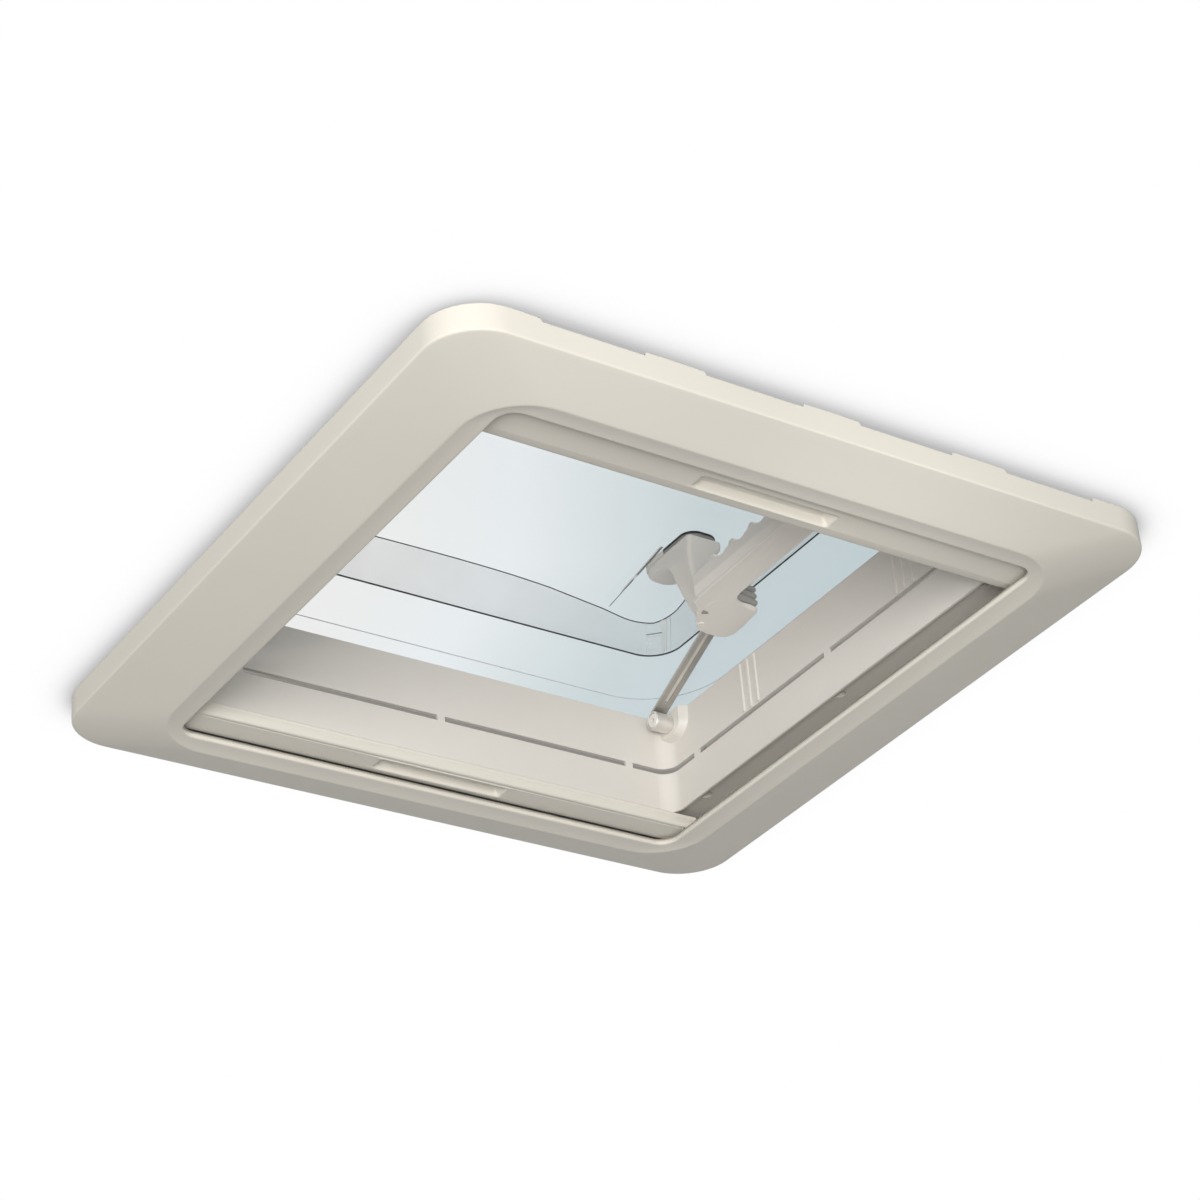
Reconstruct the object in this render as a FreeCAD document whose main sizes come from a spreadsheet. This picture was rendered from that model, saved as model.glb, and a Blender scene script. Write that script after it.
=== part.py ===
# Roof hatch for a caravan: a clear double dome hinged on a square roof frame, an interior frame with
# two pleated blinds, and a side handle whose stay holds the dome open.
# Millimetres. Z is up and Z = 0 is the outer skin of the roof. The origin is the centre of the
# cut-out. The hinge lies along X at the +Y side, and the handle is at the +X side.
import FreeCAD, Part
import math
import os
import Sketcher

Vector = FreeCAD.Vector
doc = FreeCAD.newDocument("roof_hatch")
sheet = doc.addObject("Spreadsheet::Sheet", "sizes")


class Size:
    """A length: its number, and the expression that binds it to the sheet."""

    def __init__(self, number, text):
        self.number = float(number)
        self.text = text

    def __float__(self):
        return self.number

    def _join(self, other, sign, result):
        text = other.text if isinstance(other, Size) else repr(float(other))
        return Size(result, f"({self.text} {sign} {text})")

    def __add__(self, other):
        return self._join(other, "+", self.number + float(other))

    def __sub__(self, other):
        return self._join(other, "-", self.number - float(other))

    def __mul__(self, other):
        return self._join(other, "*", self.number * float(other))

    def __truediv__(self, other):
        return self._join(other, "/", self.number / float(other))

    def __neg__(self):
        return Size(-self.number, f"(0 - {self.text})")


# Driving dimensions: alias, value, meaning
DRIVING = [
    ("roof_thick", 32, "thickness of the roof panel"),
    ("fit_gap", 0.3, "gap between pieces that only lie beside each other"),
    ("running", 0.05, "clearance of a shaft in its hole, on the radius"),
    ("neck_half", 192, "inner face of the neck and the collar, from the centre"),
    ("neck_wall", 3, "wall of the neck"),
    ("neck_corner", 12, "inner corner radius of the neck and the collar"),
    ("neck_top", 34.3, "top of the neck above the roof"),
    ("neck_drop", 6.4, "lower edge of the neck below the roof skin"),
    ("upstand_out", 30, "neck's inner face to the upstand's outer face"),
    ("upstand_wall", 3, "wall of the upstand"),
    ("upstand_corner", 36, "corner radius of the upstand"),
    ("flange_out", 28, "how far the roof flange reaches past the upstand"),
    ("flange_thick", 3, "thickness of the roof flange"),
    ("flange_corner", 30, "corner radius of the roof flange"),
    ("roof_hole", 4.2, "diameter of a roof screw hole"),
    ("roof_hole_edge", 5.5, "roof screw hole to the flange's edge"),
    ("bead_wide", 4, "width of a rib on the neck"),
    ("bead_deep", 1.2, "how far a rib stands off the neck"),
    ("bead_pitch", 8.5, "spacing of the ribs"),
    ("bead_place", 88, "middle of a group of ribs, from the centre"),
    ("lug_deep", 4.7, "how far a screw lug stands off the neck"),
    ("lug_wide", 9, "width of a screw lug"),
    ("clamp_end", 32, "outer clamp screws to the neck's end wall"),
    ("clamp_out", 5, "neck's inner face to the clamp screws"),
    ("clamp_screw", 3, "diameter of a clamp screw"),
    ("clamp_head", 5.6, "diameter of a clamp screw's head"),
    ("clamp_bite", 5.2, "length of a clamp screw in its lug"),
    ("collar_wall", 1.8, "wall of the collar"),
    ("collar_drop", 42, "lower edge of the collar below the roof skin"),
    ("vent_gap", 4.2, "height of the ventilation slot"),
    ("vent_bridge", 6, "width of a bridge across the ventilation slot"),
    ("bridge_end", 35, "outer bridges to the neck's end wall"),
    ("flange_cover", 16, "how far the interior frame covers the collar's flange"),
    ("collar_flange", 3, "thickness of the collar's flange"),
    ("seal_in", 6, "upstand's outer face to the middle of the dome seal"),
    ("seal_wide", 8, "width of the dome seal"),
    ("seal_high", 3.4, "height of the closed dome seal"),
    ("dome_in", 16, "upstand's outer face to the inner dome's wall"),
    ("inner_draft", 1.5, "how far the inner dome's wall leans in up to its step"),
    ("inner_thick", 2.5, "acrylic of the inner dome"),
    ("inner_rim", 26, "width of the inner dome's flange from its wall"),
    ("step_high", 98, "height of the inner dome's step"),
    ("step_wide", 3, "width of the inner dome's step"),
    ("top_in", 9, "how far the wall leans in up to the ceiling's corner"),
    ("slope_high", 26, "height of the leaning wall over the step"),
    ("crown_rise", 24, "rise of the crowned ceiling to its middle"),
    ("crown_radius", 1667, "radius of the crowned ceiling"),
    ("dome_corner", 34, "inner corner radius of the inner dome"),
    ("wall_air", 8.5, "air between the walls of the two domes"),
    ("outer_draft", 5, "how far the outer dome's wall leans in"),
    ("outer_thick", 3, "acrylic of the outer dome"),
    ("air_gap", 8, "air between the two ceilings"),
    ("skirt_out", 7, "inner dome's flange to the outer face of the skirt"),
    ("skirt_low", 26, "lower edge of the dome's skirt"),
    ("pad_rise", 5, "ceiling's corner to the underside of the handle pads"),
    ("pad_edge", 1.5, "how far a pad reaches past its bracket's plate along X"),
    ("pad_end", 3, "how far a pad reaches past its bracket's plate along Y"),
    ("pad_corner", 14, "corner radius of a handle pad"),
    ("rim_out", 68, "neck's inner face to the interior frame's outer wall"),
    ("rim_corner", 36, "corner radius of the interior frame at the ceiling"),
    ("frame_deep", 29, "depth of the interior frame below the ceiling"),
    ("wall_deep", 18, "height of the interior frame's outer wall"),
    ("edge_round", 5, "reach of the interior frame's rounded edge"),
    ("bevel_x", 48.6, "outer wall to the ridge along X"),
    ("bevel_y", 37.4, "outer wall to the ridge along Y"),
    ("ridge_corner", 42, "corner radius of the ridge"),
    ("lip_in_x", 15.7, "ridge to the opening along X"),
    ("lip_in_y", 14.8, "ridge to the opening along Y"),
    ("lip_corner", 13, "corner radius of the opening"),
    ("lip_rise", 1.5, "how far the lip lies above the ridge"),
    ("lip_high", 4, "height of the lip"),
    ("cove_wide", 6, "width of the cove inside the ridge"),
    ("shell", 2.5, "wall of the interior frame"),
    ("floor_wide", 12.5, "flat floor outside the ridge"),
    ("notch_wide", 70, "width of a notch in the interior frame's rim"),
    ("notch_pitch", 111.8, "spacing of the notches"),
    ("notch_deep", 2.7, "depth of a notch"),
    ("clip_wide", 20, "width of a frame clip"),
    ("clip_place", 120, "frame clips, from the centre"),
    ("rail_wide", 35.7, "width of a side rail's plate"),
    ("rail_plate", 4, "thickness of a side rail's plate"),
    ("rail_end", 10, "side rail's end past the neck's inner face"),
    ("rail_web_gap", 14, "blind bar's end to the side rail's web"),
    ("rail_web", 2, "thickness of a side rail's web"),
    ("rail_foot_gap", 3, "blind bar's end to the side rail's foot"),
    ("rail_foot", 1.8, "thickness of a side rail's foot"),
    ("access_hole", 9.6, "hole in a side rail under a clamp screw"),
    ("access_out", 1.6, "clamp screws to the middle of the access holes"),
    ("rail_hole", 4, "small hole in a side rail"),
    ("rail_hole_in", 3.5, "side rail's web to the small holes"),
    ("bar_hide", 2.2, "blind bar's back past the opening"),
    ("bar_low", 8, "underside of a blind bar above the ridge"),
    ("bar_high", 9, "height of a blind bar"),
    ("bar_end", 11.3, "blind bar's end past the opening"),
    ("blackout_wide", 38, "width of the blackout bar"),
    ("flyscreen_wide", 25.5, "width of the flyscreen bar"),
    ("bar_bevel", 9, "width of the bevel along the blackout bar's front"),
    ("bar_edge", 1.5, "rise of a bar's bevel"),
    ("slider_long", 22, "length of a bar's slider"),
    ("slider_high", 7, "height of a bar's slider"),
    ("grip_long", 102, "length of a bar's finger grip"),
    ("grip_wide", 14, "width of a bar's finger grip"),
    ("grip_deep", 5.5, "depth of a bar's finger grip"),
    ("grip_edge", 3, "finger grip to the bar's bevel"),
    ("pleat_count", 22, "folds in a parked blind"),
    ("pleat_pitch", 1.25, "spacing of the parked folds"),
    ("pleat_high", 8.4, "height of the folds"),
    ("pleat_cloth", 0.35, "thickness of the pleated cloth"),
    ("cassette_wall", 1.6, "wall of a blind's cassette"),
    ("hinge_out", 7, "skirt's outer face to the hinge axis"),
    ("hinge_z", 36, "hinge axis above the roof"),
    ("hinge_place", 120, "middle of a hinge, from the centre"),
    ("hinge_pin", 4, "diameter of a hinge pin"),
    ("knuckle", 8.5, "diameter of a hinge knuckle"),
    ("knuckle_long", 12, "length of one hinge knuckle"),
    ("hinge_leaf", 2.5, "thickness of a hinge leaf"),
    ("hinge_screw", 3.5, "diameter of a hinge screw"),
    ("stay_in", 12.7, "neck's end wall to the stay's pin"),
    ("stay_drop", 9.3, "top of the neck to the stay's pin"),
    ("stay_pin", 6, "diameter of the stay's pin"),
    ("sleeve_long", 14.5, "length of the stay's sleeve"),
    ("boss_deep", 6, "how far the boss stands off the neck"),
    ("boss_wide", 26, "width of the boss at its face"),
    ("boss_low", 10, "stay's pin to the boss's lower edge"),
    ("boss_flare", 5, "how much wider the boss is at the neck"),
    ("sleeve", 14, "diameter of the sleeve on the stay's pin"),
    ("strap_in", 1.7, "sleeve's inner end to the stay"),
    ("strap_wide", 11.5, "width of the stay"),
    ("strap_thick", 2, "thickness of the stay"),
    ("strap_long", 148, "length of the stay from its pin"),
    ("strap_angle", 25, "rise of the closed stay, in degrees"),
    ("strap_slot", 3, "width of the stay's channel"),
    ("stop_pin", 3.5, "diameter of the stop at the stay's end"),
    ("bar_reach", 58, "neck's inner face to the inner face of the handle's bar"),
    ("bar_wide", 31, "width of the handle's bar"),
    ("bar_floor", 60, "underside of the handle's bar"),
    ("bar_deep", 17, "height of the handle's bar"),
    ("bar_tip", 22, "end of the handle's foot to the end of its bar"),
    ("bar_last", 112, "free end of the handle's bar, behind the centre"),
    ("wave_pitch", 23.3, "spacing of the finger waves"),
    ("wave_deep", 4.5, "depth of a finger wave"),
    ("wave_first", 30, "first hollow of the finger waves"),
    ("foot_gap", 3, "handle's foot to the neck's inner face"),
    ("foot_long", 36, "length of the handle's foot"),
    ("foot_toe", 8, "how far the foot's plate reaches on under the button"),
    ("foot_last", 104, "end of the handle's foot"),
    ("foot_thick", 3, "thickness of the handle's foot"),
    ("foot_wall", 3, "wall of the handle's foot"),
    ("foot_high", 15, "height of the wall behind the button"),
    ("cheek_high", 22, "height of the foot's outer cheek"),
    ("arm_step", 14, "inner face of the handle's bar to the bracket's arm"),
    ("arm_wide", 23, "width of the bracket's arm at the foot"),
    ("arm_long", 20, "length of the bracket's arm along the foot"),
    ("plate_step", 14.5, "inner face of the handle's bar to a bracket's plate"),
    ("plate_wide", 29, "width of a bracket's plate along X"),
    ("plate_back", 21, "end of the handle's foot to the inner edge of a bracket's plate"),
    ("plate_long", 62, "length of a bracket's plate along Y"),
    ("plate_thick", 7, "thickness of a bracket's plate"),
    ("gasket", 5, "thickness of a bracket's gasket"),
    ("bracket_bolt", 4, "diameter of a bracket bolt"),
    ("button_out", 21.5, "outer face of the foot to the release button's inner edge"),
    ("button_wide", 19, "width of the release button"),
    ("button_clear", 0.2, "room left behind the pressed release button"),
    ("button_deep", 6.5, "depth of the release button"),
    ("button_rise", 3.5, "underside of the foot to the release button's"),
    ("button_high", 17, "height of the release button"),
    ("button_travel", 4, "travel of the release button"),
    ("button_stem", 7, "side of the release button's stem"),
]
for row, (alias, value, meaning) in enumerate(DRIVING, 1):
    sheet.set(f"A{row}", alias)
    sheet.set(f"B{row}", str(value))
    sheet.set(f"C{row}", meaning)
    sheet.setAlias(f"B{row}", alias)
doc.recompute()
size = {alias: Size(value, f"sizes.{alias}") for alias, value, meaning in DRIVING}
mm = {alias: float(value) for alias, value, meaning in DRIVING}
zero = Size(0, "0.0")

# Sizes that follow from the driving ones: alias, the sizes it is added up from, meaning
DERIVED = [
    ("upstand_half", "+neck_half +upstand_out", "outer face of the upstand"),
    ("flange_half", "+upstand_half +flange_out", "edge of the roof flange"),
    ("seal_half", "+upstand_half -seal_in", "middle of the dome seal, from the centre"),
    ("clamp_place", "+neck_half -clamp_end", "outer clamp screws, from the centre"),
    ("clamp_x", "+neck_half +clamp_out", "line of the clamp screws, from the centre"),
    ("bridge_place", "+neck_half -bridge_end", "outer bridges, from the centre"),
    ("inner_half", "+upstand_half -dome_in", "inner face of the inner dome's wall at its foot"),
    ("inner_flange", "+inner_half +inner_rim", "edge of the inner dome's flange"),
    ("inner_top_half", "+inner_half -top_in", "inner face of the wall where it meets the ceiling's corner"),
    ("inner_top_high", "+step_high +slope_high", "height of the ceiling's corner"),
    ("crown_apex", "+inner_top_high +crown_rise", "ceiling of the inner dome at its middle"),
    ("outer_half", "+inner_half +inner_thick +wall_air", "inner face of the outer dome's wall at its foot"),
    ("skirt_half", "+inner_flange +skirt_out", "outer face of the dome's skirt"),
    ("pad_high", "+inner_top_high +pad_rise", "underside of the pads that carry the handle"),
    ("rim_half", "+neck_half +rim_out", "interior frame at the ceiling"),
    ("ridge_half_x", "+rim_half -bevel_x", "ridge of the interior frame along X"),
    ("ridge_half_y", "+rim_half -bevel_y", "ridge of the interior frame along Y"),
    ("lip_half_x", "+ridge_half_x -lip_in_x", "opening of the interior frame along X"),
    ("lip_half_y", "+ridge_half_y -lip_in_y", "opening of the interior frame along Y"),
    ("collar_flange_half", "+rim_half -flange_cover", "edge of the collar's flange"),
    ("rail_half", "+neck_half +rail_end", "half length of a side rail"),
    ("bar_half", "+lip_half_x +bar_end", "half length of a blind bar"),
    ("bar_back", "+lip_half_y +bar_hide", "back of both blind bars, from the centre"),
    ("blackout_front", "+bar_back -blackout_wide", "front of the parked blackout bar, from the centre"),
    ("flyscreen_front", "+bar_back -flyscreen_wide", "front of the parked flyscreen bar, from the centre"),
    ("rail_web_x", "+bar_half +rail_web_gap", "inner face of a side rail's web, from the centre"),
    ("rail_foot_x", "+bar_half +rail_foot_gap", "inner edge of a side rail's foot, from the centre"),
    ("access_x", "+clamp_x +access_out", "line of the access holes, from the centre"),
    ("rail_hole_x", "+rail_web_x -rail_hole_in", "line of the small holes, from the centre"),
    ("hinge_y", "+skirt_half +hinge_out", "hinge axis, from the centre"),
    ("stay_y", "+neck_half -stay_in", "stay's pin along Y"),
    ("stay_z", "+neck_top -stay_drop", "stay's pin above the roof"),
    ("boss_face", "+neck_half -boss_deep", "face of the boss that holds the stay's pin, from the centre"),
    ("stay_end", "+boss_face -sleeve_long", "inner end of the stay's sleeve, from the centre"),
    ("strap_start", "+stay_end +strap_in", "inner edge of the stay, from the centre"),
    ("bar_in", "+neck_half -bar_reach", "inner face of the handle's bar, from the centre"),
    ("bar_out", "+bar_in +bar_wide", "outer face of the handle's bar, from the centre"),
    ("foot_floor", "+bar_floor -foot_thick", "underside of the handle's foot"),
    ("foot_out", "+neck_half -foot_gap", "outer face of the handle's foot, from the centre"),
    ("foot_first", "+foot_last -foot_long", "face of the handle's foot behind the button"),
    ("bar_first", "+foot_last -bar_tip", "end of the handle's bar at the foot"),
    ("arm_in", "+bar_in +arm_step", "inner face of the bracket's arm at the foot, from the centre"),
    ("arm_out", "+arm_in +arm_wide", "outer face of the bracket's arm at the foot, from the centre"),
    ("arm_start", "+foot_last -arm_long", "arm's face at the foot"),
    ("plate_in", "+bar_in +plate_step", "inner edge of a bracket's plate, from the centre"),
    ("plate_start", "+foot_last -plate_back", "inner edge of a bracket's plate, from the centre along Y"),
    ("button_in", "+foot_out -button_out", "inner edge of the release button, from the centre"),
    ("button_front", "+foot_first -button_travel -fit_gap -button_deep -button_clear",
     "front of the release button"),
    ("button_low", "+foot_floor +button_rise", "underside of the release button"),
    ("pad_x", "+plate_in -pad_edge", "inner edge of a handle pad, from the centre along X"),
    ("pad_y", "+plate_start -pad_end", "inner edge of a handle pad, from the centre along Y"),
]
for alias, terms, meaning in DERIVED:
    total = None
    for term in terms.split():
        part = size[term[1:]]
        if total is None:
            total = part
        else:
            total = total + part if term[0] == "+" else total - part
    size[alias] = total
    mm[alias] = float(total)
nodes = {}


def node(name, thing):
    """Names a finished sub-part, which is written to a file of that name."""
    thing.Label = name
    nodes[name] = thing
    return thing


def solid_node(name, shape):
    """A sub-part whose shape is worked out here from the sheet's sizes."""
    thing = doc.addObject("Part::Feature", name)
    thing.Shape = shape
    return node(name, thing)


def bind(thing, path, value):
    """Sets a property from the sheet, or from a number that has no size of its own."""
    text = value.text if isinstance(value, Size) else repr(float(value))
    thing.setExpression(path, text)


# Heights and places that several pieces share
ceiling = -size["roof_thick"]
ridge = ceiling - size["frame_deep"]
lip_bottom = ridge + size["lip_rise"]
lip_top = lip_bottom + size["lip_high"]
collar_top = -size["neck_drop"] - size["vent_gap"]
collar_under = ceiling - size["collar_flange"]
rail_under = collar_under - size["rail_plate"]
bar_under = ridge + size["bar_low"]
bar_over = bar_under + size["bar_high"]
dome_seat = size["neck_top"] + size["seal_high"] + size["fit_gap"]
inner_over = dome_seat + size["inner_thick"]
outer_over = inner_over + size["outer_thick"]
rail_inner = size["neck_half"] + size["collar_wall"] + size["fit_gap"]
plate_over = size["pad_high"] - size["gasket"]
plate_under = plate_over - size["plate_thick"]
clamp_places = [-size["clamp_place"], zero, size["clamp_place"]]


# Sketches and bodies

def new_body(name):
    return node(name, doc.addObject("PartDesign::Body", name))


def sketch_on(body, role, offset, title):
    """An empty sketch on one of the body's own planes, moved along the plane's normal."""
    sketch = body.newObject("Sketcher::SketchObject", title)
    plane = [f for f in body.Origin.OriginFeatures if f.Role == role][0]
    sketch.AttachmentSupport = [(plane, "")]
    sketch.MapMode = "FlatFace"
    bind(sketch, ".AttachmentOffset.Base.z", offset)
    return sketch


def locate(sketch, kind, item, point, value, label):
    """Fixes a sketch point at a distance from the origin along one axis."""
    index = sketch.addConstraint(Sketcher.Constraint(kind, -1, 1, item, point, float(value)))
    sketch.renameConstraint(index, label)
    sketch.setExpression(f"Constraints.{label}", value.text)


def dimension(sketch, kind, item, value, label):
    """Fixes a radius or a diameter."""
    index = sketch.addConstraint(Sketcher.Constraint(kind, item, float(value)))
    sketch.renameConstraint(index, label)
    sketch.setExpression(f"Constraints.{label}", value.text)


def rounded_rectangle(sketch, tag, left, right, low, high, corner):
    """Draws a rectangle with round corners, bound to its four sides and its radius."""
    r = float(corner)
    x0, x1, y0, y1 = float(left), float(right), float(low), float(high)
    centres = [(x1 - r, y0 + r), (x1 - r, y1 - r), (x0 + r, y1 - r), (x0 + r, y0 + r)]
    lines = [((x0 + r, y0), (x1 - r, y0)), ((x1, y0 + r), (x1, y1 - r)),
             ((x1 - r, y1), (x0 + r, y1)), ((x0, y1 - r), (x0, y0 + r))]
    first = sketch.GeometryCount
    for quarter, ((start, end), centre) in enumerate(zip(lines, centres)):
        sketch.addGeometry(Part.LineSegment(Vector(*start, 0), Vector(*end, 0)))
        circle = Part.Circle(Vector(*centre, 0), Vector(0, 0, 1), r)
        turn = math.radians(90 * quarter - 90)
        sketch.addGeometry(Part.ArcOfCircle(circle, turn, turn + math.pi / 2))
    line = [first + 2 * i for i in range(4)]
    arc = [first + 2 * i + 1 for i in range(4)]
    for i in range(4):
        sketch.addConstraint(Sketcher.Constraint("Tangent", line[i], 2, arc[i], 1))
        sketch.addConstraint(Sketcher.Constraint("Tangent", arc[i], 2, line[(i + 1) % 4], 1))
    for i, way in enumerate(("Horizontal", "Vertical", "Horizontal", "Vertical")):
        sketch.addConstraint(Sketcher.Constraint(way, line[i]))
    for i in range(1, 4):
        sketch.addConstraint(Sketcher.Constraint("Equal", arc[0], arc[i]))
    dimension(sketch, "Radius", arc[0], corner, f"{tag}_corner")
    locate(sketch, "DistanceY", line[0], 1, low, f"{tag}_low")
    locate(sketch, "DistanceX", line[1], 1, right, f"{tag}_right")
    locate(sketch, "DistanceY", line[2], 1, high, f"{tag}_high")
    locate(sketch, "DistanceX", line[3], 1, left, f"{tag}_left")


def rounded_square(sketch, tag, half_x, half_y, corner):
    rounded_rectangle(sketch, tag, -half_x, half_x, -half_y, half_y, corner)


def polygon(sketch, tag, points):
    """Draws a closed polygon whose corners are bound to sizes."""
    first = sketch.GeometryCount
    count = len(points)
    for i in range(count):
        ends = [Vector(float(x), float(y), 0) for x, y in (points[i], points[(i + 1) % count])]
        sketch.addGeometry(Part.LineSegment(*ends))
    for i in range(count):
        sketch.addConstraint(Sketcher.Constraint("Coincident", first + i, 2, first + (i + 1) % count, 1))
    for i, (x, y) in enumerate(points):
        locate(sketch, "DistanceX", first + i, 1, x, f"{tag}_{i}_x")
        locate(sketch, "DistanceY", first + i, 1, y, f"{tag}_{i}_y")


def rectangle(sketch, tag, left, right, low, high):
    polygon(sketch, tag, [(left, low), (right, low), (right, high), (left, high)])


def circle(sketch, tag, x, y, diameter):
    """Draws a circle bound to its centre and diameter."""
    middle = Vector(float(x), float(y), 0)
    item = sketch.addGeometry(Part.Circle(middle, Vector(0, 0, 1), float(diameter) / 2))
    locate(sketch, "DistanceX", item, 3, x, f"{tag}_x")
    locate(sketch, "DistanceY", item, 3, y, f"{tag}_y")
    dimension(sketch, "Diameter", item, diameter, f"{tag}_size")


def pad(body, sketch, length, title):
    feature = body.newObject("PartDesign::Pad", title)
    feature.Profile = sketch
    bind(feature, "Length", length)
    return feature


def cut(body, sketch, length, title):
    """Cuts along the sketch's normal, and checks by the volume that it took something."""
    doc.recompute()
    before = body.Shape.Volume
    feature = body.newObject("PartDesign::Pocket", title)
    feature.Profile = sketch
    bind(feature, "Length", length)
    feature.Reversed = True
    doc.recompute()
    if body.Shape.Volume >= before - 1e-3:
        raise RuntimeError(f"{body.Label}: {title} cuts nothing")
    return feature


def square_ring(body, title, low, high, outer, inner):
    """A square ring between two heights: outer and inner are (half size, corner radius)."""
    sketch = sketch_on(body, "XY_Plane", low, f"{title}_sketch")
    rounded_square(sketch, "outer", outer[0], outer[0], outer[1])
    rounded_square(sketch, "inner", inner[0], inner[0], inner[1])
    return pad(body, sketch, high - low, title)


def loft(body, title, kind, levels):
    """A ruled loft through rounded rectangles: each level is (height, half x, half y, corner)."""
    sketches = []
    for i, (height, half_x, half_y, corner) in enumerate(levels):
        sketch = sketch_on(body, "XY_Plane", height, f"{title}_{i}")
        rounded_square(sketch, "outline", half_x, half_y, corner)
        sketches.append(sketch)
    doc.recompute()
    feature = body.newObject(f"PartDesign::{kind}", title)
    feature.Profile = sketches[0]
    feature.Sections = sketches[1:]
    feature.Ruled = True
    return feature


def along_x(body, title, low, high, points):
    """Pads a profile of (y, z) points from one place on X to another."""
    sketch = sketch_on(body, "YZ_Plane", low, f"{title}_sketch")
    polygon(sketch, "corner", points)
    return pad(body, sketch, high - low, title)


def along_y(body, title, low, high, points):
    """Pads a profile of (x, z) points from one place on Y to another."""
    sketch = sketch_on(body, "XZ_Plane", -high, f"{title}_sketch")
    polygon(sketch, "corner", points)
    return pad(body, sketch, high - low, title)


def box(x0, x1, y0, y1, z0, z1):
    return Part.makeBox(x1 - x0, y1 - y0, z1 - z0, Vector(x0, y0, z0))


def rod(diameter, start, end):
    """A round bar between two points."""
    a, b = Vector(*start), Vector(*end)
    return Part.makeCylinder(diameter / 2, (b - a).Length, a, b - a)


def outline(half_x, half_y, corner, height, middle=(0, 0)):
    """A wire of lines and arcs round a rectangle with round corners."""
    arcs = []
    for sx, sy, turn in ((1, -1, -90), (1, 1, 0), (-1, 1, 90), (-1, -1, 180)):
        centre = Vector(middle[0] + sx * (half_x - corner), middle[1] + sy * (half_y - corner), height)
        base = Part.Circle(centre, Vector(0, 0, 1), corner)
        arcs.append(Part.Arc(base, math.radians(turn), math.radians(turn + 90)))
    edges = []
    for before, arc in zip([arcs[-1]] + arcs[:-1], arcs):
        edges.append(Part.LineSegment(before.EndPoint, arc.StartPoint).toShape())
        edges.append(arc.toShape())
    return Part.Wire(edges)


def prism(levels, middle=(0, 0)):
    """A solid through rounded rectangles: each level is (height, half x, half y, corner)."""
    wires = [outline(half_x, half_y, corner, height, middle) for height, half_x, half_y, corner in levels]
    return Part.makeLoft(wires, True, True)


def extruded(points, direction):
    """A solid from a closed polygon of 3-D points, pushed along a vector."""
    corners = [Vector(*p) for p in points]
    return Part.Face(Part.makePolygon(corners + corners[:1])).extrude(Vector(*direction))


def turned(points, base, axis):
    """A solid of revolution from (radius, height) points, stood at base along an axis."""
    corners = [Vector(r, 0, z) for r, z in points]
    face = Part.Face(Part.makePolygon(corners + corners[:1]))
    solid = face.revolve(Vector(0, 0, 0), Vector(0, 0, 1), 360)
    solid.Placement = FreeCAD.Placement(Vector(*base), FreeCAD.Rotation(Vector(0, 0, 1), Vector(*axis)))
    return solid


def screw(head, shank, long, base, axis):
    """A pan-head screw with a cross recess: base is under the head, axis points to the tip."""
    rise = head * 0.36
    points = [(0, -rise), (head * 0.34, -rise), (head * 0.46, -rise * 0.7), (head * 0.5, -rise * 0.3),
              (head * 0.5, 0), (shank / 2, 0), (shank / 2, long - shank * 0.4), (shank * 0.25, long),
               (0, long)]
    solid = turned(points, (0, 0, 0), (0, 0, 1))
    arm, width = head * 0.28, head * 0.09
    for x, y in ((arm, width), (width, arm)):
        solid = solid.cut(box(-x, x, -y, y, -rise - 0.1, -rise * 0.45))
    solid.Placement = FreeCAD.Placement(Vector(*base), FreeCAD.Rotation(Vector(0, 0, 1), Vector(*axis)))
    return solid


def mirrored(shape, axis):
    return shape.mirror(Vector(0, 0, 0), Vector(*axis))


# Roof frame: neck through the roof, upstand that carries the dome, and flange on the roof

def make_roof_frame():
    body = new_body("roof_frame")
    neck_in = (size["neck_half"], size["neck_corner"])
    neck_out = (size["neck_half"] + size["neck_wall"], size["neck_corner"] + size["neck_wall"])
    stand_out = (size["upstand_half"], size["upstand_corner"])
    stand_in = (size["upstand_half"] - size["upstand_wall"], size["upstand_corner"] - size["upstand_wall"])
    square_ring(body, "neck", -size["neck_drop"], size["neck_top"], neck_out, neck_in)
    square_ring(body, "web", size["neck_top"] - size["upstand_wall"], size["neck_top"], stand_out, neck_in)
    square_ring(body, "upstand", zero, size["neck_top"], stand_out, stand_in)
    flange_out = (size["flange_half"], size["flange_corner"])
    square_ring(body, "flange", zero, size["flange_thick"], flange_out, stand_in)
    add_ribs(body)
    add_lugs(body, neck_out[0])
    add_boss(body)
    cut_roof_holes(body)
    return body


def add_ribs(body):
    """Groups of three ribs on the two side walls of the neck."""
    sketch = sketch_on(body, "XY_Plane", -size["neck_drop"] + size["bead_deep"], "ribs_sketch")
    wall = size["neck_half"] + size["neck_wall"] / 2
    face = size["neck_half"] - size["bead_deep"]
    half = size["bead_wide"] / 2
    for side in (-1, 1):
        for group in (-1, 1):
            for step in (-1, 0, 1):
                y = size["bead_place"] * group + size["bead_pitch"] * step
                near, far = face * side, wall * side
                left, right = (near, far) if side > 0 else (far, near)
                tag = f"rib{side + 1}{group + 1}{step + 1}"
                bevel = half / 2
                if side > 0:
                    points = [(left, y - bevel), (right, y - half), (right, y + half), (left, y + bevel)]
                else:
                    points = [(left, y - half), (right, y - bevel), (right, y + bevel), (left, y + half)]
                polygon(sketch, tag, points)
    pad(body, sketch, size["neck_top"] + size["neck_drop"] - size["bead_deep"] * 2, "ribs")


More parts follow.
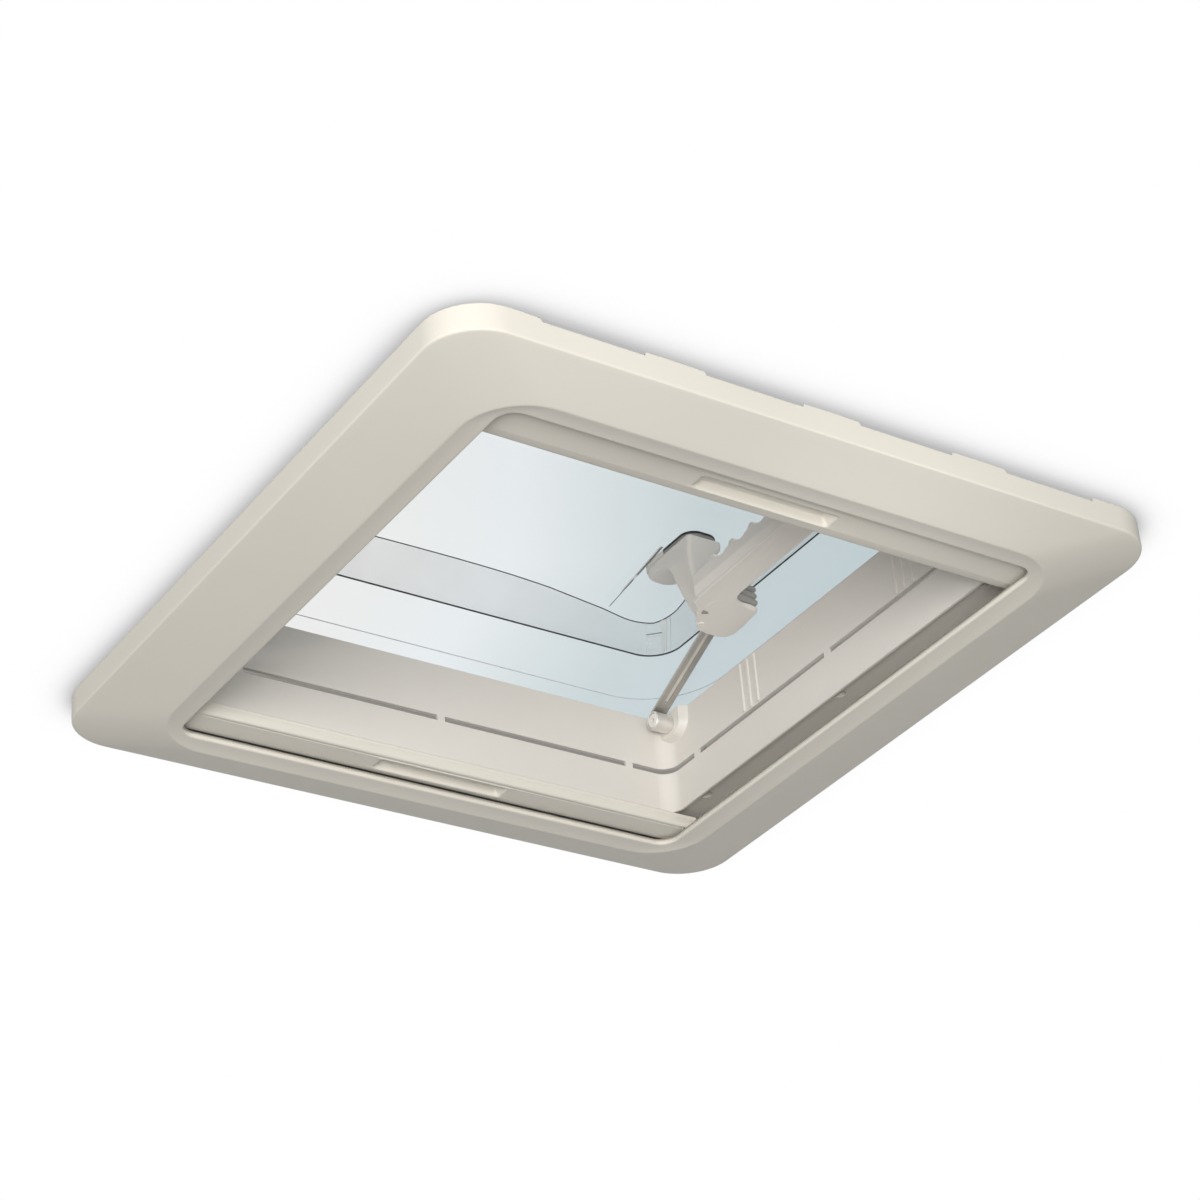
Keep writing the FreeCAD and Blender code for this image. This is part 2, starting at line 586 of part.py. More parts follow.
def add_lugs(body, wall):
    """Lugs on the outside of the neck that the clamp screws bite into."""
    sketch = sketch_on(body, "XY_Plane", -size["neck_drop"], "lugs_sketch")
    half = size["lug_wide"] / 2
    near, far = wall - size["neck_wall"] / 2, wall + size["lug_deep"]
    for i, y in enumerate(clamp_places):
        rectangle(sketch, f"right{i}", near, far, y - half, y + half)
        rectangle(sketch, f"left{i}", -far, -near, y - half, y + half)
    pad(body, sketch, size["neck_drop"] + size["upstand_wall"], "lugs")
    holes = sketch_on(body, "XY_Plane", -size["neck_drop"], "lug_holes_sketch")
    bore = size["clamp_screw"] + size["running"] * 2
    for i, y in enumerate(clamp_places):
        circle(holes, f"right{i}", size["clamp_x"], y, bore)
        circle(holes, f"left{i}", -size["clamp_x"], y, bore)
    cut(body, holes, size["clamp_bite"] + size["fit_gap"], "lug_holes")


def add_boss(body):
    """Flared boss on the side wall, with the bore for the stay's pin."""
    sketches = []
    wall = size["neck_half"] + size["neck_wall"] / 2
    for x, grow in ((size["boss_face"], zero), (wall, size["boss_flare"])):
        sketch = sketch_on(body, "YZ_Plane", x, f"boss_{len(sketches)}")
        half = size["boss_wide"] / 2 + grow
        low = size["stay_z"] - size["boss_low"] - grow / 2
        rounded_rectangle(sketch, "outline", size["stay_y"] - half, size["stay_y"] + half, low,
                          size["neck_top"] + size["boss_wide"], size["boss_low"] + grow)
        sketches.append(sketch)
    doc.recompute()
    boss = body.newObject("PartDesign::AdditiveLoft", "boss")
    boss.Profile = sketches[0]
    boss.Sections = sketches[1:]
    trim = sketch_on(body, "XY_Plane", size["neck_top"], "boss_trim_sketch")
    rounded_square(trim, "trim", size["flange_half"], size["flange_half"], size["flange_corner"])
    cut(body, trim, size["boss_wide"] * 2, "boss_trim")
    bore = sketch_on(body, "YZ_Plane", size["boss_face"], "boss_bore_sketch")
    circle(bore, "bore", size["stay_y"], size["stay_z"], size["stay_pin"] + size["running"] * 2)
    cut(body, bore, size["neck_half"] - size["boss_face"] + size["fit_gap"], "boss_bore")


def cut_roof_holes(body):
    """Screw holes near the flange's corners and at the middle of each side."""
    sketch = sketch_on(body, "XY_Plane", zero, "roof_holes_sketch")
    side = size["flange_half"] - size["roof_hole_edge"]
    middle = size["flange_half"] - size["flange_corner"]
    corner = middle + (size["flange_corner"] - size["roof_hole_edge"]) * math.sqrt(0.5)
    places = [(corner, corner), (-corner, corner), (-corner, -corner), (corner, -corner),
              (side, zero), (zero, side), (-side, zero), (zero, -side)]
    for i, (x, y) in enumerate(places):
        circle(sketch, f"hole{i}", x, y, size["roof_hole"])
    cut(body, sketch, size["flange_thick"], "roof_holes")


def make_dome_seal():
    body = new_body("dome_seal")
    half = size["seal_wide"] / 2
    corner = size["upstand_corner"] - size["upstand_half"] + size["seal_half"]
    outer = (size["seal_half"] + half, corner + half)
    inner = (size["seal_half"] - half, corner - half)
    square_ring(body, "ring", size["neck_top"], size["neck_top"] + size["seal_high"], outer, inner)
    return body


# Collar: carries the roof frame's lower edge on through the cut-out, with a flange on the ceiling

def make_collar():
    body = new_body("adapter_collar")
    inner = (size["neck_half"], size["neck_corner"])
    wall = size["neck_half"] + size["collar_wall"]
    outer = (wall, size["neck_corner"] + size["collar_wall"])
    square_ring(body, "wall", -size["collar_drop"], collar_top, outer, inner)
    flange = (size["collar_flange_half"], size["rim_corner"] - size["rim_half"] + size["collar_flange_half"])
    square_ring(body, "flange", collar_under, ceiling, flange, inner)
    bridges = sketch_on(body, "XY_Plane", collar_top - size["collar_wall"], "bridges_sketch")
    half = size["vent_bridge"] / 2
    for i, place in enumerate((-size["bridge_place"], zero, size["bridge_place"])):
        for side in (-1, 1):
            near, far = (size["neck_half"], wall) if side > 0 else (-wall, -size["neck_half"])
            rectangle(bridges, f"x{i}{side + 1}", near, far, place - half, place + half)
            rectangle(bridges, f"y{i}{side + 1}", place - half, place + half, near, far)
    pad(body, bridges, size["vent_gap"] + size["collar_wall"], "bridges")
    holes = sketch_on(body, "XY_Plane", collar_under, "clamp_holes_sketch")
    for i, y in enumerate(clamp_places):
        circle(holes, f"right{i}", size["clamp_x"], y, size["clamp_screw"] + size["fit_gap"])
        circle(holes, f"left{i}", -size["clamp_x"], y, size["clamp_screw"] + size["fit_gap"])
    cut(body, holes, size["collar_flange"], "clamp_holes")
    return body


def make_clamp_screws():
    """Six screws that draw the collar up to the roof frame's lugs."""
    long = mm["roof_thick"] + mm["collar_flange"] - mm["neck_drop"] + mm["clamp_bite"]
    screws = []
    for y in clamp_places:
        for side in (-1, 1):
            base = (side * mm["clamp_x"], float(y), float(collar_under))
            screws.append(screw(mm["clamp_head"], mm["clamp_screw"], long, base, (0, 0, 1)))
    return solid_node("clamp_screws", Part.makeCompound(screws))


# Interior frame: a shallow tray with a square opening, seen from inside the caravan

def make_ceiling_frame():
    body = new_body("ceiling_frame")
    crease = ceiling - size["wall_deep"]
    rim = (size["rim_half"], size["rim_half"], size["rim_corner"])
    edge = (size["rim_half"], size["rim_half"], size["rim_corner"])
    ridge_line = (size["ridge_half_x"], size["ridge_half_y"], size["ridge_corner"])
    below = size["edge_round"] / 2
    share = size["edge_round"] * 2 / (size["frame_deep"] - size["wall_deep"])
    lower = [e + (r - e) * share * 0.25 for e, r in zip(edge, ridge_line)]
    upper = [e + (r - e) * size["edge_round"] / size["wall_deep"] for e, r in zip(edge, rim)]
    levels = [(ridge, *ridge_line)]
    for step in range(5):
        way = step / 4
        height = (crease - below) * (1 - way) ** 2 + crease * (2 * way * (1 - way)) + (
            crease + size["edge_round"]) * way ** 2
        across = [low * (1 - way) ** 2 + mid * (2 * way * (1 - way)) + high * way ** 2
                  for low, mid, high in zip(lower, edge, upper)]
        levels.append((height, *across))
    levels.append((ceiling, *rim))
    loft(body, "outside", "AdditiveLoft", levels)
    hollow = size["shell"]
    floor_x, floor_y = size["ridge_half_x"] + size["floor_wide"], size["ridge_half_y"] + size["floor_wide"]
    loft(body, "inside", "SubtractiveLoft", [
        (lip_top, floor_x, floor_y, size["ridge_corner"] + size["shell"]),
        (crease + hollow, edge[0] - hollow, edge[1] - hollow, edge[2] - hollow),
        (ceiling, rim[0] - hollow, rim[1] - hollow, rim[2] - hollow)])
    narrow = size["cove_wide"]
    loft(body, "cove", "SubtractiveLoft", [
        (ridge, size["ridge_half_x"] - hollow * 0.2, size["ridge_half_y"] - hollow * 0.2,
         size["ridge_corner"]),
        (ridge + size["lip_rise"] * 0.7, size["ridge_half_x"] - narrow * 0.6,
         size["ridge_half_y"] - narrow * 0.6, size["ridge_corner"] - narrow * 0.6),
        (lip_bottom, size["ridge_half_x"] - narrow, size["ridge_half_y"] - narrow,
         size["ridge_corner"] - narrow)])
    opening = sketch_on(body, "XY_Plane", lip_bottom, "opening_sketch")
    rounded_square(opening, "opening", size["lip_half_x"], size["lip_half_y"], size["lip_corner"])
    cut(body, opening, size["lip_high"], "opening")
    notches = sketch_on(body, "XY_Plane", ceiling - size["notch_deep"], "notches_sketch")
    half = size["notch_wide"] / 2
    for side in (-1, 1):
        outside, inside = size["rim_half"] + hollow, size["rim_half"] - hollow * 2
        low, high = (-outside, -inside) if side < 0 else (inside, outside)
        for step in (-1.5, -0.5, 0.5, 1.5):
            x = size["notch_pitch"] * step
            rectangle(notches, f"notch{side + 1}{int(step * 2 + 3)}", x - half, x + half, low, high)
    cut(body, notches, size["notch_deep"], "notches")
    return body


def make_frame_clips():
    """Clips under the collar's flange that the interior frame snaps onto."""
    near = mm["collar_flange_half"] - mm["clip_wide"] / 5
    top = float(collar_under)
    low = top - mm["rail_plate"] + 1
    face = mm["rim_half"] - mm["shell"] - mm["fit_gap"] * 2
    profile = [(near, low), (face, low), (face, top), (near, top)]
    clips = []
    for place in (-mm["clip_place"], mm["clip_place"]):
        start = place - mm["clip_wide"] / 2
        right = extruded([(x, start, z) for x, z in profile], (0, mm["clip_wide"], 0))
        back = extruded([(start, y, z) for y, z in profile], (mm["clip_wide"], 0, 0))
        clips += [right, mirrored(right, (1, 0, 0)), back, mirrored(back, (0, 1, 0))]
    return solid_node("frame_clips", Part.makeCompound(clips))


# Blinds: side rails, cassettes, bars with sliders, and pleated cloth

def make_side_rail(name, side):
    """A channel at one side: plate under the collar's flange, web and foot."""
    body = new_body(name)
    plate_out = rail_inner + size["rail_wide"]
    foot_low = lip_top + size["fit_gap"]
    foot_top = foot_low + size["rail_foot"]
    web_out = size["rail_web_x"] + size["rail_web"]
    points = [(rail_inner, collar_under), (rail_inner, rail_under), (size["rail_web_x"], rail_under),
              (size["rail_web_x"], foot_top), (size["rail_foot_x"], foot_top),
              (size["rail_foot_x"], foot_low), (web_out, foot_low), (web_out, rail_under), (plate_out, rail_under), (plate_out, collar_under)]
    if side < 0:
        points = [(-x, z) for x, z in reversed(points)]
    along_y(body, "channel", -size["rail_half"], size["rail_half"], points)
    holes = sketch_on(body, "XY_Plane", rail_under, "holes_sketch")
    for i, y in enumerate(clamp_places):
        circle(holes, f"access{i}", size["access_x"] * side, y, size["access_hole"])
        circle(holes, f"small{i}", size["rail_hole_x"] * side, y, size["rail_hole"])
    cut(body, holes, size["rail_plate"], "holes")
    return body


def make_cassette(name, side):
    """Angle over the parked pleats, fixed under the collar's flange. The cloth's end is held by it."""
    body = new_body(name)
    back = size["bar_back"] + size["fit_gap"] * 2 + size["pleat_count"] * size["pleat_pitch"]
    outside = back + size["cassette_wall"]
    front = size["bar_back"] + size["fit_gap"]
    top, under = collar_under, collar_under - size["cassette_wall"]
    low = bar_under + size["cassette_wall"]
    points = [(front, top), (front, under), (back, under), (back, low), (outside, low), (outside, top)]
    if side < 0:
        points = [(-y, z) for y, z in reversed(points)]
    half = size["bar_half"] - size["fit_gap"] * 5
    along_x(body, "angle", -half, half, points)
    return body


def ribbon(path, width):
    """Outline of a strip that follows a path of right-angled turns."""
    normals = []
    for (y0, z0), (y1, z1) in zip(path, path[1:]):
        length = math.hypot(y1 - y0, z1 - z0)
        normals.append(((z0 - z1) / length, (y1 - y0) / length))
    sides = []
    for sign in (1, -1):
        line = []
        for i, (y, z) in enumerate(path):
            beside = {normals[max(i - 1, 0)], normals[min(i, len(normals) - 1)]}
            line.append((y + sign * sum(n[0] for n in beside) * width / 2,
                         z + sign * sum(n[1] for n in beside) * width / 2))
        sides.append(line)
    return sides[0] + sides[1][::-1]


def make_pleats(name, side):
    """Parked cloth: one sheet folded up and down between the bar and the cassette."""
    legs, cloth = 2 * int(mm["pleat_count"]), mm["pleat_cloth"]
    low = float(bar_under) + mm["fit_gap"] + cloth / 2
    high = low + mm["pleat_high"] - cloth
    start = mm["bar_back"] + mm["fit_gap"] + cloth / 2
    step = (mm["pleat_count"] * mm["pleat_pitch"] - cloth) / (legs - 1)
    path = []
    for leg in range(legs):
        ends = (low, high) if leg % 2 == 0 else (high, low)
        path += [(start + leg * step, z) for z in ends]
    half = mm["bar_half"] - mm["fit_gap"] * 10
    cloth_points = [(-half, side * y, z) for y, z in ribbon(path, cloth)]
    return solid_node(name, extruded(cloth_points, (2 * half, 0, 0)))


def make_bar(name, side, front, bevel):
    """A blind's bar with a bevelled front and a finger grip in its underside."""
    body = new_body(name)
    back = size["bar_back"]
    points = [(back, bar_over), (back, bar_under), (front + bevel, bar_under),
              (front + size["bar_edge"] / 2, bar_under + size["bar_edge"]),
              (front, bar_under + size["bar_edge"] * 2), (front, bar_over)]
    if side < 0:
        points = [(-y, z) for y, z in reversed(points)]
    along_x(body, "bar", -size["bar_half"], size["bar_half"], points)
    grip = sketch_on(body, "XY_Plane", bar_under, "grip_sketch")
    half = size["grip_long"] / 2
    near = front + bevel + size["grip_edge"] / 3
    far = near + size["grip_wide"]
    low, high = (near, far) if side > 0 else (-far, -near)
    rounded_rectangle(grip, "grip", -half, half, low, high, size["grip_wide"] / 3)
    cut(body, grip, size["grip_deep"], "grip")
    return body


def make_sliders(name, side, front):
    """Blocks at both ends of a bar, which run in the side rails."""
    low = float(lip_top) + mm["rail_foot"] + 2 * mm["fit_gap"]
    high = low + mm["slider_high"]
    start = float(front) + mm["bar_edge"] * 2
    end = start + mm["slider_long"]
    near, far = (start, end) if side > 0 else (-end, -start)
    outer = mm["rail_web_x"] - mm["fit_gap"]
    slider = box(mm["bar_half"], outer, near, far, low, high)
    ends = [e for e in slider.Edges if abs(e.CenterOfMass.x - outer) < 0.01]
    slider = slider.makeChamfer(mm["bar_edge"], ends)
    return solid_node(name, Part.makeCompound([slider, mirrored(slider, (1, 0, 0))]))


# Domes: clear acrylic shells with a crowned top

def crowned(levels, radius, apex):
    """A solid through rounded rectangles whose top is a large sphere."""
    ball = Part.makeSphere(radius, Vector(0, 0, apex - radius), Vector(0, 1, 0))
    return prism(levels).common(ball)


def lean(low, half_low, high, half_high, height):
    """Half size at a height on a wall that leans from one half size to another."""
    return half_low + (half_high - half_low) * (height - low) / (high - low)


def inner_shape(grow, bottom):
    """Outline of the inner dome, grown by its thickness for the outside."""
    top = mm["crown_apex"] + grow + 6
    step = mm["step_high"] + grow
    half = mm["inner_half"] + grow
    corner = mm["dome_corner"] + grow
    under_step = half - mm["inner_draft"]
    over_step = under_step - mm["step_wide"]
    half_top = lean(mm["step_high"], over_step, mm["inner_top_high"], mm["inner_top_half"] + grow, top - grow)
    lower = prism([(bottom, half, half, corner), (step, under_step, under_step, corner)])
    upper = crowned([(step - grow - 1, over_step, over_step, corner - mm["step_wide"]),
                     (top, half_top, half_top, corner - mm["step_wide"])],
                    mm["crown_radius"] + grow, mm["crown_apex"] + grow)
    return lower.fuse(upper)


def pad_space(sheet_thick):
    """The space above the handle's pads, or with a sheet's thickness the space that the pads fill."""
    spaces = []
    far = mm["inner_flange"]
    x, y = mm["pad_x"] + sheet_thick, mm["pad_y"] + sheet_thick
    half_x, half_y = (far - x) / 2, (far - y) / 2
    corner = mm["pad_corner"] - sheet_thick
    low = mm["pad_high"] + sheet_thick
    high = mm["crown_apex"] + mm["air_gap"]
    for side in (-1, 1):
        levels = [(low, half_x, half_y, corner), (high, half_x, half_y, corner)]
        spaces.append(prism(levels, (x + half_x, side * (y + half_y))))
    return spaces[0].fuse(spaces[1])


def bracket_bolt_places():
    """Bolts through the pads into the two brackets."""
    x = mm["plate_in"] + mm["plate_wide"] / 2
    ends = (mm["plate_start"] + mm["plate_wide"] / 3,
            mm["plate_start"] + mm["plate_long"] - mm["plate_wide"] / 4)
    return [(x, side * y) for side in (-1, 1) for y in ends]


def make_inner_dome():
    thick = mm["inner_thick"]
    seat, over = float(dome_seat), float(inner_over)
    corner = mm["dome_corner"]
    edge, turn = mm["inner_flange"], corner + mm["inner_flange"] - mm["inner_half"]
    flange = prism([(seat, edge, edge, turn), (over, edge, edge, turn)])
    outside = inner_shape(thick, seat).fuse(flange).cut(pad_space(thick))
    inside = inner_shape(0, seat - 1).cut(pad_space(0))
    shape = outside.cut(inside)
    for x, y in bracket_bolt_places():
        bore = rod(mm["bracket_bolt"] + 2 * mm["running"], (x, y, mm["pad_high"] - 1),
                   (x, y, mm["pad_high"] + 9))
        shape = shape.cut(bore)
    return solid_node("inner_dome", shape.removeSplitter())


def make_outer_dome():
    seat, over = float(inner_over), float(outer_over)
    thick = mm["outer_thick"]
    half, skirt = mm["outer_half"], mm["skirt_half"]
    radius = mm["crown_radius"] + mm["inner_thick"] + mm["air_gap"]
    apex = mm["crown_apex"] + mm["inner_thick"] + mm["air_gap"]
    corner = mm["dome_corner"] + half - mm["inner_half"]
    top = apex + thick + 6
    half_top = half - mm["outer_draft"]
    skirt_corner = corner + skirt - half
    inside = crowned([(seat - 1, half, half, corner), (top, half_top, half_top, corner)], radius, apex)
    outside = crowned([(seat, half + thick, half + thick, corner + thick),
                       (top, half_top + thick, half_top + thick, corner + thick)],
                      radius + thick, apex + thick)
    rim = prism([(mm["skirt_low"], skirt, skirt, skirt_corner), (over, skirt, skirt, skirt_corner)])
    under = prism([(mm["skirt_low"] - 1, skirt - thick, skirt - thick, skirt_corner - thick),
                   (seat, skirt - thick, skirt - thick, skirt_corner - thick)])
    shape = rim.cut(under).fuse(outside).cut(inside)
    return solid_node("outer_dome", shape.removeSplitter())


# Hinges between the roof frame and the dome

def hinge_screw_places(middle):
    reach = mm["knuckle_long"]
    return [middle - reach, middle + reach]


def make_hinge(name, side):
    """One hinge: a bracket on the roof flange with two knuckles, and a leaf on the dome with one."""
    middle = size["hinge_place"] * side
    half = size["knuckle_long"] * 1.5
    thick = size["hinge_leaf"]
    radius = size["knuckle"] / 2
    bore = size["hinge_pin"] + size["running"] * 2
    axis_y, axis_z = size["hinge_y"], size["hinge_z"]
    bracket = new_body(f"hinge_bracket_{name}")
    foot = size["flange_thick"] + thick
    front, back = axis_y - thick / 2, axis_y + thick / 2
    along_x(bracket, "foot", middle - half, middle + half, [
        (size["upstand_half"] + size["fit_gap"], size["flange_thick"]), (back, size["flange_thick"]),
        (back, axis_z - radius - 1), (front, axis_z - radius - 1), (front, foot),
        (size["upstand_half"] + size["fit_gap"], foot)])
    for end in (-1, 1):
        low = middle + (half if end > 0 else -half) - (size["knuckle_long"] if end > 0 else zero)
        ear = sketch_on(bracket, "YZ_Plane", low, f"ear_sketch{end + 1}")
        rectangle(ear, "ear", front, back, foot, axis_z)
        pad(bracket, ear, size["knuckle_long"], f"ear{end + 1}")
        barrel = sketch_on(bracket, "YZ_Plane", low, f"barrel_sketch{end + 1}")
        circle(barrel, "barrel", axis_y, axis_z, size["knuckle"])
        pad(bracket, barrel, size["knuckle_long"], f"barrel{end + 1}")
    hole = sketch_on(bracket, "YZ_Plane", middle - half, "pin_hole_sketch")
    circle(hole, "pin", axis_y, axis_z, bore)
    cut(bracket, hole, half * 2, "pin_hole")
    screws = sketch_on(bracket, "XY_Plane", size["flange_thick"], "screw_holes_sketch")
    screw_y = (size["upstand_half"] + axis_y) / 2
    for end in (-1, 1):
        circle(screws, f"screw{end + 1}", middle + size["knuckle_long"] * end, screw_y,
               size["hinge_screw"] + size["running"] * 2)
    cut(bracket, screws, thick, "screw_holes")

    leaf = new_body(f"hinge_leaf_{name}")
    low = outer_over
    high = outer_over + thick
    inside = size["outer_half"] + size["outer_thick"] + size["fit_gap"]
    along_x(leaf, "plate", middle - half, middle + half, [
        (inside, low), (size["skirt_half"], low), (size["skirt_half"], high), (inside, high)])
    gap = size["fit_gap"]
    tongue = size["knuckle_long"] / 2 - gap
    along_x(leaf, "tongue", middle - tongue, middle + tongue, [
        (size["skirt_half"] - thick, low), (size["skirt_half"] + gap, low), (axis_y - radius * 0.7, axis_z),
        (axis_y + radius * 0.7, axis_z + radius * 0.6), (axis_y, high), (size["skirt_half"] - thick, high)])
    barrel = sketch_on(leaf, "YZ_Plane", middle - tongue, "barrel_sketch")
    circle(barrel, "barrel", axis_y, axis_z, size["knuckle"])
    pad(leaf, barrel, tongue * 2, "barrel")
    hole = sketch_on(leaf, "YZ_Plane", middle - half, "pin_hole_sketch")
    circle(hole, "pin", axis_y, axis_z, bore)
    cut(leaf, hole, half * 2, "pin_hole")
    holes = sketch_on(leaf, "XY_Plane", low, "screw_holes_sketch")
    leaf_y = (inside + size["skirt_half"]) / 2
    for end in (-1, 1):
        circle(holes, f"screw{end + 1}", middle + size["knuckle_long"] * end, leaf_y,
               size["hinge_screw"] + size["running"] * 2)
    cut(leaf, holes, thick, "screw_holes")


def make_hinge_pins():
    """Two pins with a head at one end."""
    pins = []
    half = 1.5 * mm["knuckle_long"]
    for side in (-1, 1):
        start = side * mm["hinge_place"] - half - mm["fit_gap"]
        length = 2 * half + 2 * mm["fit_gap"] + 1
        head = mm["knuckle"] * 0.42
        points = [(0, -1.6), (head - 0.6, -1.6), (head, -1), (head, 0), (mm["hinge_pin"] / 2, 0),
                  (mm["hinge_pin"] / 2, length), (0, length)]
        pins.append(turned(points, (start, mm["hinge_y"], mm["hinge_z"]), (1, 0, 0)))
    return solid_node("hinge_pins", Part.makeCompound(pins))


def make_hinge_screws():
    """Screws of the brackets, in the roof flange, and of the leaves, in the dome's rim."""
    bracket_y = (mm["upstand_half"] + mm["hinge_y"]) / 2
    leaf_y = (mm["outer_half"] + mm["outer_thick"] + mm["fit_gap"] + mm["skirt_half"]) / 2
    thick = mm["hinge_leaf"]
    low, high = [], []
    for side in (-1, 1):
        for x in hinge_screw_places(side * mm["hinge_place"]):
            base = (x, bracket_y, mm["flange_thick"] + thick)
            low.append(screw(2 * mm["hinge_screw"], mm["hinge_screw"], thick, base, (0, 0, -1)))
            base = (x, leaf_y, float(outer_over) + thick)
            high.append(screw(2 * mm["hinge_screw"], mm["hinge_screw"], thick, base, (0, 0, -1)))
    solid_node("hinge_bracket_screws", Part.makeCompound(low))
    solid_node("hinge_leaf_screws", Part.makeCompound(high))


# Stay: pin, sleeve and strap

def make_stay_pin():
    """Tubular pin from the boss through the sleeve."""
    start = mm["stay_end"] + 1.2
    end = mm["neck_half"]
    head = mm["sleeve"] * 0.38
    bore = mm["stay_pin"] * 0.3
    points = [(bore, -0.9), (head - 0.4, -0.9), (head, -0.5), (head, 0), (mm["stay_pin"] / 2, 0),
              (mm["stay_pin"] / 2, end - start), (0, end - start), (0, 6), (bore, 6)]
    return solid_node("stay_pin", turned(points, (start, mm["stay_y"], mm["stay_z"]), (1, 0, 0)))


def make_stay_sleeve():
    """Sleeve that turns on the pin, with a recess at its end for the pin's head."""
    length = mm["boss_face"] - mm["stay_end"] - mm["fit_gap"]
    r = mm["sleeve"] / 2
    bore = mm["stay_pin"] / 2 + mm["running"]
    head = mm["sleeve"] * 0.38 + mm["fit_gap"]
    points = [(head, 0), (r - 0.5, 0), (r, 0.5), (r, length), (bore, length), (bore, 1.2), (head, 1.2)]
    return solid_node("stay_sleeve", turned(points, (mm["stay_end"], mm["stay_y"], mm["stay_z"]), (1, 0, 0)))


def stay_point(along, off, x=0):
    """A point of the closed stay: distance from the pin along the strap, and distance off that line."""
    turn = math.radians(mm["strap_angle"])
    y = mm["stay_y"] - along * math.cos(turn) + off * math.sin(turn)
    z = mm["stay_z"] + along * math.sin(turn) + off * math.cos(turn)
    return (x, y, z)


def make_stay_strap():
    """Flat strap curled over the sleeve, with a long channel along its middle."""
    inner = mm["sleeve"] / 2 + mm["running"]
    outer = mm["sleeve"] / 2 + mm["strap_thick"]
    x = mm["strap_start"]
    curl = math.radians(70)
    long = mm["strap_long"]

    def on_curl(radius, turn):
        return Vector(*stay_point(-radius * math.sin(turn), radius * math.cos(turn), x))

    edges = [
        Part.makeLine(Vector(*stay_point(0, inner, x)), Vector(*stay_point(long, inner, x))),
        Part.makeLine(Vector(*stay_point(long, inner, x)), Vector(*stay_point(long, outer, x))),
        Part.makeLine(Vector(*stay_point(long, outer, x)), Vector(*stay_point(0, outer, x))),
        Part.Arc(on_curl(outer, 0), on_curl(outer, curl / 2), on_curl(outer, curl)).toShape(),
        Part.makeLine(on_curl(outer, curl), on_curl(inner, curl)),
        Part.Arc(on_curl(inner, curl), on_curl(inner, curl / 2), on_curl(inner, 0)).toShape(),
    ]
    strap = Part.Face(Part.Wire(edges)).extrude(Vector(mm["strap_wide"], 0, 0))
    middle = x + mm["strap_wide"] / 2
    half = mm["strap_slot"] / 2
    start, end = mm["sleeve"] * 0.9, long - mm["sleeve"]
    deep = mm["strap_thick"] / 2
    corners = [stay_point(start, inner - 1, middle - half), stay_point(end, inner - 1, middle - half),
               stay_point(end, inner + deep, middle - half), stay_point(start, inner + deep, middle - half)]
    channel = extruded(corners, (2 * half, 0, 0))
    for along in (start, end):
        a = stay_point(along, inner - 1, middle)
        b = stay_point(along, inner + deep, middle)
        channel = channel.fuse(rod(2 * half, a, b))
    strap = strap.cut(channel)
    hole_a = stay_point(long - mm["stop_pin"] * 1.5, inner - 1, middle)
    hole_b = stay_point(long - mm["stop_pin"] * 1.5, outer + 1, middle)
    return solid_node("stay_strap", strap.cut(rod(mm["stop_pin"], hole_a, hole_b)))


def make_stay_stop():
    """Rivet at the strap's free end, which the guide doesn't let through."""
    inner = mm["sleeve"] / 2
    outer = inner + mm["strap_thick"]
    middle = mm["strap_start"] + mm["strap_wide"] / 2
    along = mm["strap_long"] - mm["stop_pin"] * 1.5
    shank = rod(mm["stop_pin"] - 2 * mm["running"], stay_point(along, inner, middle),
                stay_point(along, outer, middle))
    caps = [rod(2 * mm["stop_pin"], stay_point(along, inner - 1.2, middle), stay_point(along, inner, middle)),
            rod(2 * mm["stop_pin"], stay_point(along, outer, middle), stay_point(along, outer + 1.2, middle))]
    return solid_node("stay_stop", shank.fuse(caps).removeSplitter())


# Handle: bar with finger waves, foot that guides the stay, two brackets and the release button

def bar_profile(inset):
    """Section of the handle's bar across Y, drawn in from its faces by an inset."""
    x0, x1 = mm["bar_in"] + inset, mm["bar_out"] - inset
    z0, z1 = mm["bar_floor"] + inset, mm["bar_floor"] + mm["bar_deep"] - inset
    width = x1 - x0
    return [(x0 + width * 0.12, z0), (x1 - width * 0.06, z0), (x1, z0 + 2.5), (x1, z1 - 6),
            (x1 - width * 0.28, z1), (x0 + width * 0.16, z1), (x0, z1 - 3), (x0, z0 + 5)]


